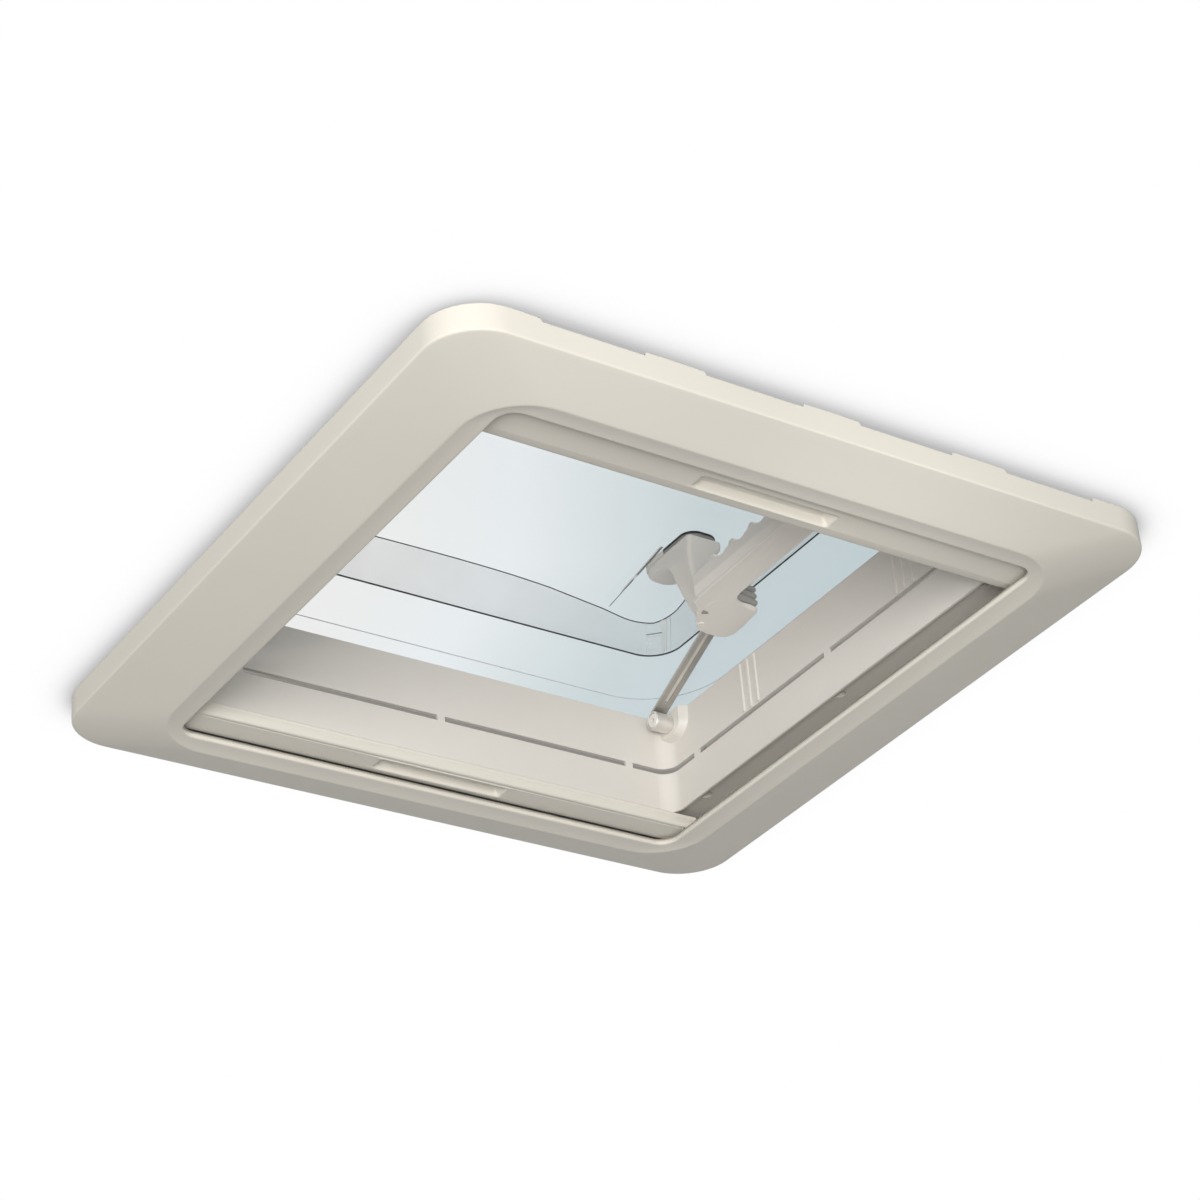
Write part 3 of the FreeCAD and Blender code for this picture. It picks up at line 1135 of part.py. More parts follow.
def make_handle_grip():
    """Bar along Y with hollows for the fingers, and the foot round the stay at its end."""
    first, last = mm["bar_first"], -mm["bar_last"]
    bevel = 3
    bar = extruded([(x, first - bevel, z) for x, z in bar_profile(0)], (0, last - first + 2 * bevel, 0))
    ends = []
    for y, step in ((first - bevel, bevel), (last + bevel, -bevel)):
        wires = [Part.makePolygon([Vector(x, y + shift, z) for x, z in profile + profile[:1]])
                 for shift, profile in ((0, bar_profile(0)), (step, bar_profile(1.5)))]
        ends.append(Part.makeLoft(wires, True, True))
    shape = bar.fuse(ends)
    top = mm["bar_floor"] + mm["bar_deep"]
    chord, deep = mm["wave_pitch"] * 0.62, mm["wave_deep"]
    radius = (chord ** 2 / 4 + deep ** 2) / (2 * deep)
    count = int((mm["wave_first"] + mm["bar_last"] - mm["wave_pitch"]) / mm["wave_pitch"]) + 1
    for wave in range(count):
        y = mm["wave_first"] - wave * mm["wave_pitch"]
        if abs(y + rear_arm_middle()) < mm["wave_pitch"]:
            continue
        z = top - deep + radius
        shape = shape.cut(rod(2 * radius, (mm["bar_in"] - 1, y, z), (mm["bar_out"] + 1, y, z)))
    low, floor = mm["foot_floor"], mm["bar_floor"]
    wall = mm["foot_wall"]
    middle_x = (mm["bar_in"] + 14 + mm["foot_out"]) / 2
    half_x = (mm["foot_out"] - mm["bar_in"] - 14) / 2
    toe = mm["foot_first"] - mm["foot_toe"]
    middle_y = (toe + mm["foot_last"]) / 2
    half_y = (mm["foot_last"] - toe) / 2
    foot = prism([(low, half_x - 2, half_y - 2, 6), (low + 2, half_x, half_y, 8), (floor, half_x, half_y, 8)],
                 (middle_x, middle_y))
    shape = shape.cut(box(mm["bar_in"] - 1, mm["bar_out"] + 1, toe, mm["foot_last"], 0, floor))
    front = box(mm["bar_out"] - 1, mm["foot_out"] - 4, mm["foot_first"], mm["foot_first"] + wall,
                floor - 1, low + mm["foot_high"])
    cheek = box(mm["foot_out"] - wall, mm["foot_out"], mm["foot_first"] + 8, mm["foot_last"] - 8,
                floor - 1, low + mm["cheek_high"])
    edge = mm["strap_thick"]
    inner, outer, end = mm["arm_out"], mm["foot_out"], mm["foot_last"]
    corner = extruded([(inner, end - edge, floor), (inner, end, floor), (inner, end, floor - edge)],
                      (outer - inner, 0, 0))
    shape = shape.fuse([foot.cut(corner), front, cheek])
    x, z = stem_middle()
    side = mm["button_stem"] / 2 + mm["fit_gap"]
    shape = shape.cut(box(x - side, x + side, mm["foot_first"] - 1, mm["foot_first"] + wall + 1,
                          z - side, z + side))
    for x, y, seat, reach in handle_screw_places():
        shape = shape.cut(rod(mm["bracket_bolt"] + 2 * mm["running"], (x, y, low - 1), (x, y, reach)))
        shape = shape.cut(rod(2 * mm["bracket_bolt"] + 2 * mm["fit_gap"], (x, y, low - 1), (x, y, seat)))
    return solid_node("handle_grip", shape.removeSplitter())


def stem_middle():
    """Middle of the release button's stem, as (x, z)."""
    return mm["button_in"] + mm["button_wide"] / 2, mm["foot_floor"] + mm["foot_wall"] + mm["button_stem"]


def rear_arm_middle():
    """Distance of the rear bracket's arm behind the centre."""
    return mm["bar_last"] - mm["arm_out"] / 10


def handle_screw_places():
    """Screws from below into the brackets' arms: x, y, height of the head's seat, end of the bore."""
    x = (mm["arm_in"] + mm["arm_out"]) / 2
    front = (x, (mm["arm_start"] + mm["foot_last"]) / 2, mm["foot_floor"] + 1.6, mm["bar_floor"] + 1)
    rear_x = (mm["bar_in"] + mm["bar_out"]) / 2
    rear = (rear_x, -rear_arm_middle(), mm["bar_floor"] + 2, mm["bar_floor"] + mm["bar_deep"] + 1)
    return [front, rear]


def arm_loft(low, low_box, high, high_box, bend):
    """A tapering arm between two rectangles (x0, x1, y0, y1), with a kink part of the way up."""
    wires = []
    for height, (x0, x1, y0, y1) in ((low, low_box), bend, (high, high_box)):
        half_x, half_y = (x1 - x0) / 2, (y1 - y0) / 2
        wires.append(outline(half_x, half_y, 4, height, ((x0 + x1) / 2, (y0 + y1) / 2)))
    return Part.makeLoft(wires, True, True)


def make_bracket(name, side, arm):
    """A plate under the dome's pad and an arm down to the handle, with blind holes for its screws."""
    start, long = mm["plate_start"], mm["plate_long"]
    half_x, half_y = mm["plate_wide"] / 2, long / 2
    middle = (mm["plate_in"] + half_x, side * (start + half_y))
    under, over = float(plate_under), float(plate_over)
    corner = mm["pad_corner"] - 3
    plate = prism([(under, half_x - 1.5, half_y - 1.5, corner - 1.5), (under + 1.5, half_x, half_y, corner),
                   (over, half_x, half_y, corner)], middle)
    shape = plate.fuse(arm)
    for x, y in bracket_bolt_places():
        if side * y > 0:
            bore = mm["bracket_bolt"] + 2 * mm["running"]
            shape = shape.cut(rod(bore, (x, y, under + 1.2), (x, y, over + 1)))
    for x, y, seat, reach in handle_screw_places():
        if side * y > 0:
            bore = mm["bracket_bolt"] + 2 * mm["running"]
            shape = shape.cut(rod(bore, (x, y, seat), (x, y, reach + 10)))
    return solid_node(name, shape.removeSplitter())


def make_brackets():
    under = float(plate_under)
    plate_in, wide = mm["plate_in"], mm["plate_wide"]
    start = mm["plate_start"]
    low = (mm["arm_in"], mm["arm_out"], mm["arm_start"], mm["foot_last"])
    reach = mm["plate_long"] * 0.45
    high = (plate_in + 1, mm["arm_out"] + 2, start + 2, start + reach)
    bend_high = mm["bar_floor"] + mm["bar_deep"] + 12
    bend = (bend_high, (mm["arm_in"] + 1, mm["arm_out"] + 0.5, mm["arm_start"], mm["foot_last"] - 1))
    arm = arm_loft(mm["bar_floor"], low, under + 1, high, bend)
    make_bracket("stay_bracket", 1, arm)
    middle = rear_arm_middle()
    top = mm["bar_floor"] + mm["bar_deep"]
    x = (mm["bar_in"] + mm["bar_out"]) / 2
    half_x, half_y = mm["bar_wide"] * 0.23, mm["arm_wide"] * 0.39
    low = (x - half_x, x + half_x, -middle - half_y, -middle + half_y)
    high = (plate_in + 1, plate_in + wide - 5, -start - reach, -start - 2)
    bend = (top + half_y * 2, (x - half_x, x + half_y, -middle - half_y, -middle + half_y))
    make_bracket("rear_bracket", -1, arm_loft(top, low, under + 1, high, bend))


def make_gaskets():
    """Rubber pads between the brackets' plates and the dome."""
    half_x, half_y = mm["plate_wide"] / 2, mm["plate_long"] / 2
    corner = mm["pad_corner"] - 3
    low, high = float(plate_over), mm["pad_high"]
    for name, side in (("stay_bracket_gasket", 1), ("rear_bracket_gasket", -1)):
        middle = (mm["plate_in"] + half_x, side * (mm["plate_start"] + half_y))
        shape = prism([(low, half_x, half_y, corner), (high, half_x, half_y, corner)], middle)
        for x, y in bracket_bolt_places():
            shape = shape.cut(rod(mm["bracket_bolt"] + 2 * mm["running"], (x, y, low - 1), (x, y, high + 1)))
        solid_node(name, shape)


def make_handle_fasteners():
    """Bolts down through the pads into the brackets, and screws up into the arms."""
    head = 2 * mm["bracket_bolt"]
    bolts = []
    long = mm["inner_thick"] + mm["gasket"] + mm["plate_thick"] - 1.5
    for x, y in bracket_bolt_places():
        base = (x, y, mm["pad_high"] + mm["inner_thick"])
        bolts.append(screw(head, mm["bracket_bolt"], long, base, (0, 0, -1)))
    solid_node("bracket_bolts", Part.makeCompound(bolts))
    screws = []
    for x, y, seat, reach in handle_screw_places():
        screws.append(screw(head * 0.8, mm["bracket_bolt"], reach + 8 - seat, (x, y, seat), (0, 0, 1)))
    solid_node("handle_screws", Part.makeCompound(screws))


def make_release_button():
    """Thumb piece with ribs across its face and a square stem through the foot's wall."""
    x0 = mm["button_in"]
    x1 = x0 + mm["button_wide"]
    low, high = mm["button_low"], mm["button_low"] + mm["button_high"]
    front = mm["button_front"]
    back = front + mm["button_deep"]
    ribs = 4
    pitch = (high - low) / ribs
    points = [(back, low)]
    lean_back = mm["button_deep"] * 0.3
    for rib in range(ribs):
        for share, deep in ((0.08, 1.6), (0.3, 0.2), (0.7, 0.2), (0.92, 1.6)):
            z = low + (rib + share) * pitch
            points.append((front + deep + lean_back * (z - low) / (high - low), z))
    points.append((back, high))
    body = extruded([(x0, y, z) for y, z in points], (x1 - x0, 0, 0))
    x, z = stem_middle()
    half = mm["button_stem"] / 2
    end = mm["foot_first"] + mm["foot_wall"] + 2
    stem = box(x - half, x + half, back - 1, end, z - half, z + half)
    solid_node("release_button", body.fuse(stem).removeSplitter())
    pawl = box(x - half - 2, x + half + 2, end, end + 2, z - half + 1, z + half)
    tooth = box(x - half - 2, x + half + 2, end + 2, end + 4, z - half + 1, z - half + 3)
    solid_node("latch_pawl", pawl.fuse(tooth).removeSplitter())
    r_in, r_out = half * 1.45, half * 1.45 + 1.6
    wide = mm["foot_first"] - back
    points = [(r_in, 0), (r_in + 0.8, 0), (r_out, wide), (r_out - 0.8, wide)]
    solid_node("button_spring", turned(points, (x, back, z), (0, 1, 0)))


def check_and_write():
    """Stops on a failed feature or shape, then writes each sub-part to its own file."""
    doc.recompute()
    failed = [o.Label for o in doc.Objects if "Invalid" in o.State or "Error" in o.State]
    failed += [name for name, thing in nodes.items() if thing.Shape.isNull() or not thing.Shape.isValid()]
    if failed:
        raise RuntimeError(f"these failed: {', '.join(failed)}")
    os.makedirs("parts", exist_ok=True)
    for name, thing in nodes.items():
        thing.Shape.exportStep(f"parts/{name}.step")
    print(f"{len(nodes)} sub-parts written")


make_roof_frame()
make_dome_seal()
make_collar()
make_clamp_screws()
make_ceiling_frame()
make_frame_clips()
make_side_rail("side_rail_left", -1)
make_side_rail("side_rail_right", 1)
make_cassette("blackout_cassette", -1)
make_cassette("flyscreen_cassette", 1)
make_bar("blackout_bar", -1, size["blackout_front"], size["bar_bevel"])
make_bar("flyscreen_bar", 1, size["flyscreen_front"], size["bar_edge"] * 2)
make_sliders("blackout_sliders", -1, size["blackout_front"])
make_sliders("flyscreen_sliders", 1, size["flyscreen_front"])
make_pleats("blackout_pleats", -1)
make_pleats("flyscreen_pleats", 1)
make_inner_dome()
make_outer_dome()
make_hinge("left", -1)
make_hinge("right", 1)
make_hinge_pins()
make_hinge_screws()
make_stay_pin()
make_stay_sleeve()
make_stay_strap()
make_stay_stop()
make_handle_grip()
make_brackets()
make_gaskets()
make_handle_fasteners()
make_release_button()
check_and_write()
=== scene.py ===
"""Roof hatch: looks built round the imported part, all in metres in the part's own frame."""
import math

import bpy
import bmesh
from mathutils import Matrix, Vector

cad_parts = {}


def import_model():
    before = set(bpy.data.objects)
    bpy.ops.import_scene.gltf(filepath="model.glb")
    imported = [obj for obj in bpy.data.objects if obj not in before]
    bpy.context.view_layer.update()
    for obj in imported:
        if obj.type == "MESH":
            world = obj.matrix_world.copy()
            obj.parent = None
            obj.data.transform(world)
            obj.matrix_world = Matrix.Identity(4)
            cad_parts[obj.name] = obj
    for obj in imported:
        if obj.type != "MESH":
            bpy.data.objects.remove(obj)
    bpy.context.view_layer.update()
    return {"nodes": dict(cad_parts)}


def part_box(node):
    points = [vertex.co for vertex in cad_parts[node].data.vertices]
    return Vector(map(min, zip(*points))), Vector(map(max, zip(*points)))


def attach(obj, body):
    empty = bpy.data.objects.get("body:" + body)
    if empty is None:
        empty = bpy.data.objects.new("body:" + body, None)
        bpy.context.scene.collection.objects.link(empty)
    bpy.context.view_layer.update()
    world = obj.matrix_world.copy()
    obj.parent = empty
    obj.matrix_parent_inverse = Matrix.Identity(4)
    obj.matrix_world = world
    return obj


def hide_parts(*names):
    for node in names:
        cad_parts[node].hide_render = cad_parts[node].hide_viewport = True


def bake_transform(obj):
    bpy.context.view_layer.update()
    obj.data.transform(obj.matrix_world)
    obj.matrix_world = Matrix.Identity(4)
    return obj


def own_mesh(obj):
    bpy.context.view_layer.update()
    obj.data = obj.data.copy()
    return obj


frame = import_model()
nodes = frame["nodes"]
scene = bpy.context.scene
MM = 0.001

# Sizes of the part in millimetres, as its source has them

CEILING, CREASE_Z, RIDGE_Z = -32.0, -50.0, -61.0
LIP_Z, LIP_TOP = -59.5, -55.5
RIM, RIM_CORNER, WALL = 260.0, 36.0, 2.5
RIDGE_X, RIDGE_Y, RIDGE_CORNER = 211.4, 222.6, 42.0
LIP_X, LIP_Y, LIP_CORNER = 195.7, 207.8, 13.0
NOTCHES = (-167.7, -55.9, 55.9, 167.7)
NOTCH_HALF, NOTCH_SLOPE, NOTCH_DEEP = 36.0, 1.6, 2.7
BAR_UNDER, BAR_OVER, BAR_HALF, BAR_BACK = -53.0, -44.0, 207.0, 210.0
PLEATS, PITCH, CLOTH = 22, 1.25, 0.35
PACK_START, PACK_LOW, PACK_DEEP = 210.3, BAR_UNDER + 0.3, 8.4

# Rings round the inner dome: half its width, corner radius and height

DOME_STEP = (206.3, 24.5, 97.8)
DOME_TOP = (199.0, 35.5, 125.85)
DOME_FOOT, FOOT_LONGER = (200.5, 60.0, 52.0), 10.5
SAG_IN, SAG_DOWN, SAG_REACH, SAG_POWER = 11.0, 8.8, 188.3, 2.72


# Shader helpers

def new_material(name):
    material = bpy.data.materials.new(name)
    material.use_nodes = True
    tree = material.node_tree
    tree.nodes.clear()
    out = tree.nodes.new("ShaderNodeOutputMaterial")
    shader = tree.nodes.new("ShaderNodeBsdfPrincipled")
    tree.links.new(shader.outputs[0], out.inputs[0])
    return material, tree, shader, out


def put(tree, kind, **values):
    """New node; each value is the default of the socket of that name, or else a setting."""
    item = tree.nodes.new(kind)
    for key, value in values.items():
        if key in item.inputs:
            item.inputs[key].default_value = value
        else:
            setattr(item, key, value)
    return item


def feed(tree, target, value):
    """A node's output is linked to the socket, anything else becomes its default."""
    if isinstance(value, bpy.types.NodeSocket):
        tree.links.new(value, target)
    else:
        target.default_value = value


def noise(tree, scale, detail=3.0, stretch=(1, 1, 1)):
    place = put(tree, "ShaderNodeTexCoord")
    mapping = put(tree, "ShaderNodeMapping", Scale=stretch)
    texture = put(tree, "ShaderNodeTexNoise", Scale=scale, Detail=detail)
    tree.links.new(place.outputs["Object"], mapping.inputs["Vector"])
    tree.links.new(mapping.outputs[0], texture.inputs["Vector"])
    return texture.outputs["Fac"]


def ramp(tree, source, low, high, start=0.3, end=0.7):
    item = put(tree, "ShaderNodeValToRGB")
    for stop, place, colour in zip(item.color_ramp.elements, (start, end), (low, high)):
        stop.position, stop.color = place, (*colour, 1)
    tree.links.new(source, item.inputs["Fac"])
    return item.outputs["Color"]


def spread(tree, source, low, high, start=0.0, end=1.0, **how):
    """The source, with start to end spread over low to high."""
    item = put(tree, "ShaderNodeMapRange", **how)
    for key, value in (("Value", source), ("From Min", start), ("From Max", end),
                       ("To Min", low), ("To Max", high)):
        feed(tree, item.inputs[key], value)
    return item.outputs["Result"]


def maths(tree, operation, *values, clamp=False):
    item = put(tree, "ShaderNodeMath", operation=operation, use_clamp=clamp)
    for target, value in zip(item.inputs, values):
        feed(tree, target, value)
    return item.outputs[0]


def between(tree, share, first, second):
    """Shader that goes from the first to the second with the share."""
    item = put(tree, "ShaderNodeMixShader")
    for target, value in zip(item.inputs, (share, first, second)):
        tree.links.new(value, target)
    return item.outputs[0]


def blended(tree, share, first, second):
    """Colour that goes from the first to the second with the share."""
    item = put(tree, "ShaderNodeMix", data_type="RGBA")
    for key, value in (("Factor", share), ("A", first), ("B", second)):
        feed(tree, item.inputs[key], value)
    return item.outputs["Result"]


def bump(tree, shader, source, strength, distance):
    item = put(tree, "ShaderNodeBump", Strength=strength, Distance=distance)
    tree.links.new(source, item.inputs["Height"])
    tree.links.new(item.outputs[0], shader.inputs["Normal"])


def shade(colour, factor):
    return tuple(min(c * factor, 1) for c in colour)


# Materials

def plastic(name, colour, rough=0.42, grain=0.12, vary=0.03, shine=0.4):
    """Moulded plastic: fine satin grain, faint flow marks in its colour and uneven gloss."""
    material, tree, shader, _ = new_material(name)
    tone = ramp(tree, noise(tree, 9, 2), shade(colour, 1 - vary), shade(colour, 1 + vary * 0.5))
    tree.links.new(tone, shader.inputs["Base Color"])
    gloss = spread(tree, noise(tree, 60, 4), rough - 0.05, rough + 0.07)
    tree.links.new(gloss, shader.inputs["Roughness"])
    shader.inputs["Specular IOR Level"].default_value = shine
    bump(tree, shader, noise(tree, 2600, 2), grain, 0.00012)
    return material


def metal(name, colour, rough=0.3, stretch=(1, 1, 1), strength=0.15, scale=900):
    """Plated or brushed metal: fine lines along one direction and a cloudy gloss."""
    material, tree, shader, _ = new_material(name)
    tone = ramp(tree, noise(tree, 40, 4), shade(colour, 0.86), shade(colour, 1.06))
    tree.links.new(tone, shader.inputs["Base Color"])
    shader.inputs["Metallic"].default_value = 1.0
    gloss = spread(tree, noise(tree, scale, 3, stretch), rough - 0.08, rough + 0.12)
    tree.links.new(gloss, shader.inputs["Roughness"])
    bump(tree, shader, noise(tree, scale, 3, stretch), strength, 0.0001)
    return material


def rubber(name, colour):
    material, tree, shader, _ = new_material(name)
    tone = ramp(tree, noise(tree, 300, 3), shade(colour, 0.7), shade(colour, 1.4))
    tree.links.new(tone, shader.inputs["Base Color"])
    shader.inputs["Roughness"].default_value = 0.75
    bump(tree, shader, noise(tree, 1800, 3), 0.25, 0.0001)
    return material


def cloth(name, colour, thread, clear=0.0):
    """Woven cloth: crossed threads at a real pitch, lighter where they cross."""
    material, tree, shader, _ = new_material(name)
    place = put(tree, "ShaderNodeTexCoord")
    wave_length = 0.32
    waves = []
    for way in ("X", "Z"):
        wave = put(tree, "ShaderNodeTexWave", Scale=wave_length / (thread * MM) / 2,
                   bands_direction=way, Distortion=0.4)
        tree.links.new(place.outputs["Object"], wave.inputs["Vector"])
        waves.append(wave.outputs["Fac"])
    top = maths(tree, "MAXIMUM", *waves)
    tone = ramp(tree, top, shade(colour, 0.72), shade(colour, 1.08), 0.2, 0.9)
    tree.links.new(tone, shader.inputs["Base Color"])
    shader.inputs["Roughness"].default_value = 0.9
    shader.inputs["Sheen Weight"].default_value = 0.25
    bump(tree, shader, top, 0.4, 0.0001)
    if clear:
        tree.links.new(spread(tree, top, clear, 1.0), shader.inputs["Alpha"])
    return material


def acrylic(name, tint, through):
    """Clear acrylic sheet: lets light straight through, deepens in tint where seen edge on."""
    material, tree, shader, out = new_material(name)
    for key, value in (("Base Color", (*tint, 1)), ("Roughness", 0.06), ("IOR", 1.49),
                       ("Coat Weight", 0.6), ("Coat Roughness", 0.03)):
        shader.inputs[key].default_value = value
    bump(tree, shader, noise(tree, 14, 2), 0.04, 0.002)
    clear = put(tree, "ShaderNodeBsdfTransparent", Color=(*through, 1))
    facing = put(tree, "ShaderNodeLayerWeight", Blend=0.35)
    path = put(tree, "ShaderNodeLightPath")
    is_shadow = path.outputs["Is Shadow Ray"]
    share = maths(tree, "MULTIPLY", spread(tree, facing.outputs["Facing"], 0.025, 0.4, 0.35, 1.0),
                  maths(tree, "SUBTRACT", 1.0, is_shadow))
    sheet = between(tree, share, clear.outputs[0], shader.outputs[0])
    unshaded = put(tree, "ShaderNodeBsdfTransparent")
    tree.links.new(between(tree, is_shadow, sheet, unshaded.outputs[0]), out.inputs[0])
    return material


def painted_light_veil(name, colour, thin, thick):
    """Part-clear film with a fine speckle, for painted light on the acrylic: the grey of its rolled
    edge zone is a painted reflection, and the corner streaks are painted highlights.
    """
    material, tree, shader, _ = new_material(name)
    tone = ramp(tree, noise(tree, 1400, 2), shade(colour, 0.9), shade(colour, 1.1))
    tree.links.new(tone, shader.inputs["Base Color"])
    shader.inputs["Roughness"].default_value = 0.6
    tree.links.new(spread(tree, noise(tree, 25, 2), thin, thick), shader.inputs["Alpha"])
    return material


def padding(name, dark, pale, cover):
    """Cellular pad: black skin at the dome, grey cut edge, cream where the plate wraps it."""
    material, tree, shader, _ = new_material(name)
    place = put(tree, "ShaderNodeTexCoord")
    split = put(tree, "ShaderNodeSeparateXYZ")
    tree.links.new(place.outputs["Object"], split.inputs[0])
    height = spread(tree, split.outputs["Z"], 0.0, 1.0, 0.1262, 0.1272)
    tone = ramp(tree, height, pale, dark, 0.2, 0.8)
    along = maths(tree, "ABSOLUTE", split.outputs["Y"])
    lobe = spread(tree, along, 0.0, 1.0, 0.1150, 0.1156)
    tree.links.new(blended(tree, lobe, tone, (*cover, 1)), shader.inputs["Base Color"])
    shader.inputs["Roughness"].default_value = 0.7
    bump(tree, shader, noise(tree, 1800, 3), 0.25, 0.0001)
    return material


def fine(name, colour, rough, vary):
    """Plain satin material for the thin pieces that paint lines of light and shade onto a surface.
    """
    return plastic(name, colour, rough, 0.05, vary)


CREAM = (0.76, 0.729, 0.657)
ALONG_X = (1, 0.03, 0.03)
materials = {
    "frame": plastic("frame_plastic", CREAM, 0.46, 0.10, 0.015, 0.26),
    "neck": plastic("neck_plastic", (0.725, 0.696, 0.652), 0.36, 0.08, 0.02),
    "rail": plastic("rail_plastic", (0.62, 0.592, 0.55), 0.5, 0.10, 0.04),
    "grip": plastic("grip_plastic", (0.845, 0.815, 0.77), 0.40, 0.08, 0.02),
    "button": plastic("button_plastic", (0.36, 0.35, 0.335), 0.45, 0.12, 0.04),
    "rubber": rubber("seal_rubber", (0.03, 0.03, 0.03)),
    "inner": acrylic("inner_acrylic", (0.82, 0.90, 0.93), (0.992, 0.995, 0.996)),
    "outer": acrylic("outer_acrylic", (0.80, 0.90, 0.93), (0.990, 0.994, 0.996)),
    "strap": metal("strap_steel", (0.52, 0.505, 0.475), 0.42, ALONG_X, 0.10, 2200),
    "steel": metal("zinc_steel", (0.62, 0.60, 0.57), 0.28),
    "dark": metal("dark_steel", (0.20, 0.20, 0.20), 0.4),
    # Painted shade and light: dark lines on the dome's folds, a grey painted reflection in its
    # sloped band, a painted highlight in the strap's channel, painted highlight streaks, and
    # painted shade in a recess and along a groove
    "fold": fine("fold_shade", (0.035, 0.04, 0.045), 0.3, 0.1),
    "fold_pale": fine("fold_pale_shade", (0.06, 0.065, 0.07), 0.3, 0.1),
    "fold_foot": fine("fold_foot_shade", (0.62, 0.62, 0.68), 0.3, 0.05),
    "frost": painted_light_veil("speckled_reflection_paint", (0.47, 0.49, 0.50), 0.07, 0.15),
    "sleeve": metal("sleeve_steel", (0.80, 0.775, 0.74), 0.5, (1, 1, 0.05), 0.08, 1500),
    "channel": metal("channel_painted_highlight", (0.78, 0.76, 0.71), 0.5, ALONG_X, 0.08, 1800),
    "streak": painted_light_veil("streak_light", (0.95, 0.96, 0.97), 0.35, 0.55),
    "shade": fine("recess_shade", (0.36, 0.345, 0.33), 0.6, 0.05),
    "groove": fine("groove_shade", (0.24, 0.24, 0.26), 0.4, 0.05),
    "pad": padding("pad_rubber", (0.012, 0.012, 0.012), (0.27, 0.265, 0.255), (0.84, 0.82, 0.77)),
    "blackout": cloth("blackout_cloth", (0.52, 0.50, 0.46), 0.5),
    "screen": cloth("screen_mesh", (0.10, 0.10, 0.10), 1.1, 0.25),
}

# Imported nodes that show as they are: material, then each node with the width of its soft edges

NODES = {
    "neck": {"roof_frame": 0.5, "adapter_collar": 0.4},
    "rail": {"side_rail_left": 0.3, "side_rail_right": 0.3, "blackout_cassette": 0.3,
             "flyscreen_cassette": 0.3},
    "grip": {"handle_screws": 0.3, "stay_pin": 0.4},
    "pad": {"stay_bracket_gasket": 0.4, "rear_bracket_gasket": 0.4},
    "button": {"blackout_sliders": 0.6, "flyscreen_sliders": 0.6, "frame_clips": 0.4},
    "rubber": {"dome_seal": 0.8},
    "inner": {"inner_dome": 0.8},
    "outer": {"outer_dome": 0.8},
    "strap": {"stay_strap": 0.3},
    "sleeve": {"stay_sleeve": 0.5, "stay_stop": 0.5},
    "steel": {"clamp_screws": 0.25, "hinge_bracket_left": 0.4, "hinge_bracket_right": 0.4,
              "hinge_leaf_left": 0.4, "hinge_leaf_right": 0.4, "hinge_bracket_screws": 0.25,
              "hinge_leaf_screws": 0.25, "hinge_pins": 0.3, "bracket_bolts": 0.3},
    "dark": {"latch_pawl": 0.3},
}


def even_normals(thing):
    normals = thing.modifiers.new("normals", "WEIGHTED_NORMAL")
    normals.weight = 60


def soften(thing, width):
    """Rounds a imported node's sharp edges without touching its mesh."""
    for polygon in thing.data.polygons:
        polygon.use_smooth = True
    weld = thing.modifiers.new("weld", "WELD")
    weld.merge_threshold = 1e-6
    flat = thing.modifiers.new("flat", "DECIMATE")
    flat.decimate_type = "DISSOLVE"
    flat.angle_limit = math.radians(0.6)
    edge = thing.modifiers.new("edge", "BEVEL")
    edge.width = width * MM
    edge.segments = 3
    edge.limit_method = "ANGLE"
    edge.angle_limit = math.radians(32)
    edge.harden_normals = False
    edge.use_clamp_overlap = True
    even_normals(thing)


for key, widths in NODES.items():
    for name, width in widths.items():
        nodes[name].data.materials.clear()
        nodes[name].data.materials.append(materials[key])
        soften(nodes[name], width)


# Mesh helpers

BOX_FACES = ((0, 1, 2, 3), (4, 5, 6, 7), (0, 1, 5, 4), (1, 2, 6, 5), (2, 3, 7, 6), (3, 0, 4, 7))


def plain_mesh(name, points, faces):
    """Object with a bare mesh; its points are given in millimetres."""
    mesh = bpy.data.meshes.new(name)
    mesh.from_pydata([Vector(p) * MM for p in points], [], faces)
    thing = bpy.data.objects.new(name, mesh)
    scene.collection.objects.link(thing)
    return thing


def make_mesh(name, points, faces, key, body, smooth=True):
    """Piece with its faces turned outwards, a material and the body that it rides on."""
    thing = plain_mesh(name, points, faces)
    mesh = thing.data
    mesh.validate()
    work = bmesh.new()
    work.from_mesh(mesh)
    bmesh.ops.recalc_face_normals(work, faces=work.faces)
    work.to_mesh(mesh)
    work.free()
    for polygon in mesh.polygons:
        polygon.use_smooth = smooth
    mesh.materials.append(materials[key])
    if body:
        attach(thing, body)
    return thing


def skin(loops, closed=False):
    """Points and faces over rings that all have the same count of points."""
    count, total = len(loops[0]), len(loops)
    faces = []
    for i in range(total if closed else total - 1):
        a, b = i * count, (i + 1) % total * count
        for j in range(count):
            k = (j + 1) % count
            faces.append((a + j, a + k, b + k, b + j))
    return [p for loop in loops for p in loop], faces


def rings(name, loops, key, body):
    """Skin that runs round and closes on its own first ring."""
    return make_mesh(name, *skin(loops, closed=True), key, body)


def capped(name, loops, key, body, extra=()):
    """Skin with both ends closed; extra holds boxes of (x0, x1, y0, y1, z0, z1)."""
    count = len(loops[0])
    points, faces = skin(loops)
    faces += [tuple(range(count)), tuple((len(loops) - 1) * count + j for j in range(count))]
    for x0, x1, y0, y1, z0, z1 in extra:
        base = len(points)
        points += [(x, y, z) for z in (z0, z1) for x, y in ((x0, y0), (x1, y0), (x1, y1), (x0, y1))]
        faces += [tuple(base + i for i in face) for face in BOX_FACES]
    piece = make_mesh(name, points, faces, key, body)
    even_normals(piece)
    return piece


def circle(radius, count):
    return [(radius * math.cos(a), radius * math.sin(a))
            for a in (2 * math.pi * i / count for i in range(count))]


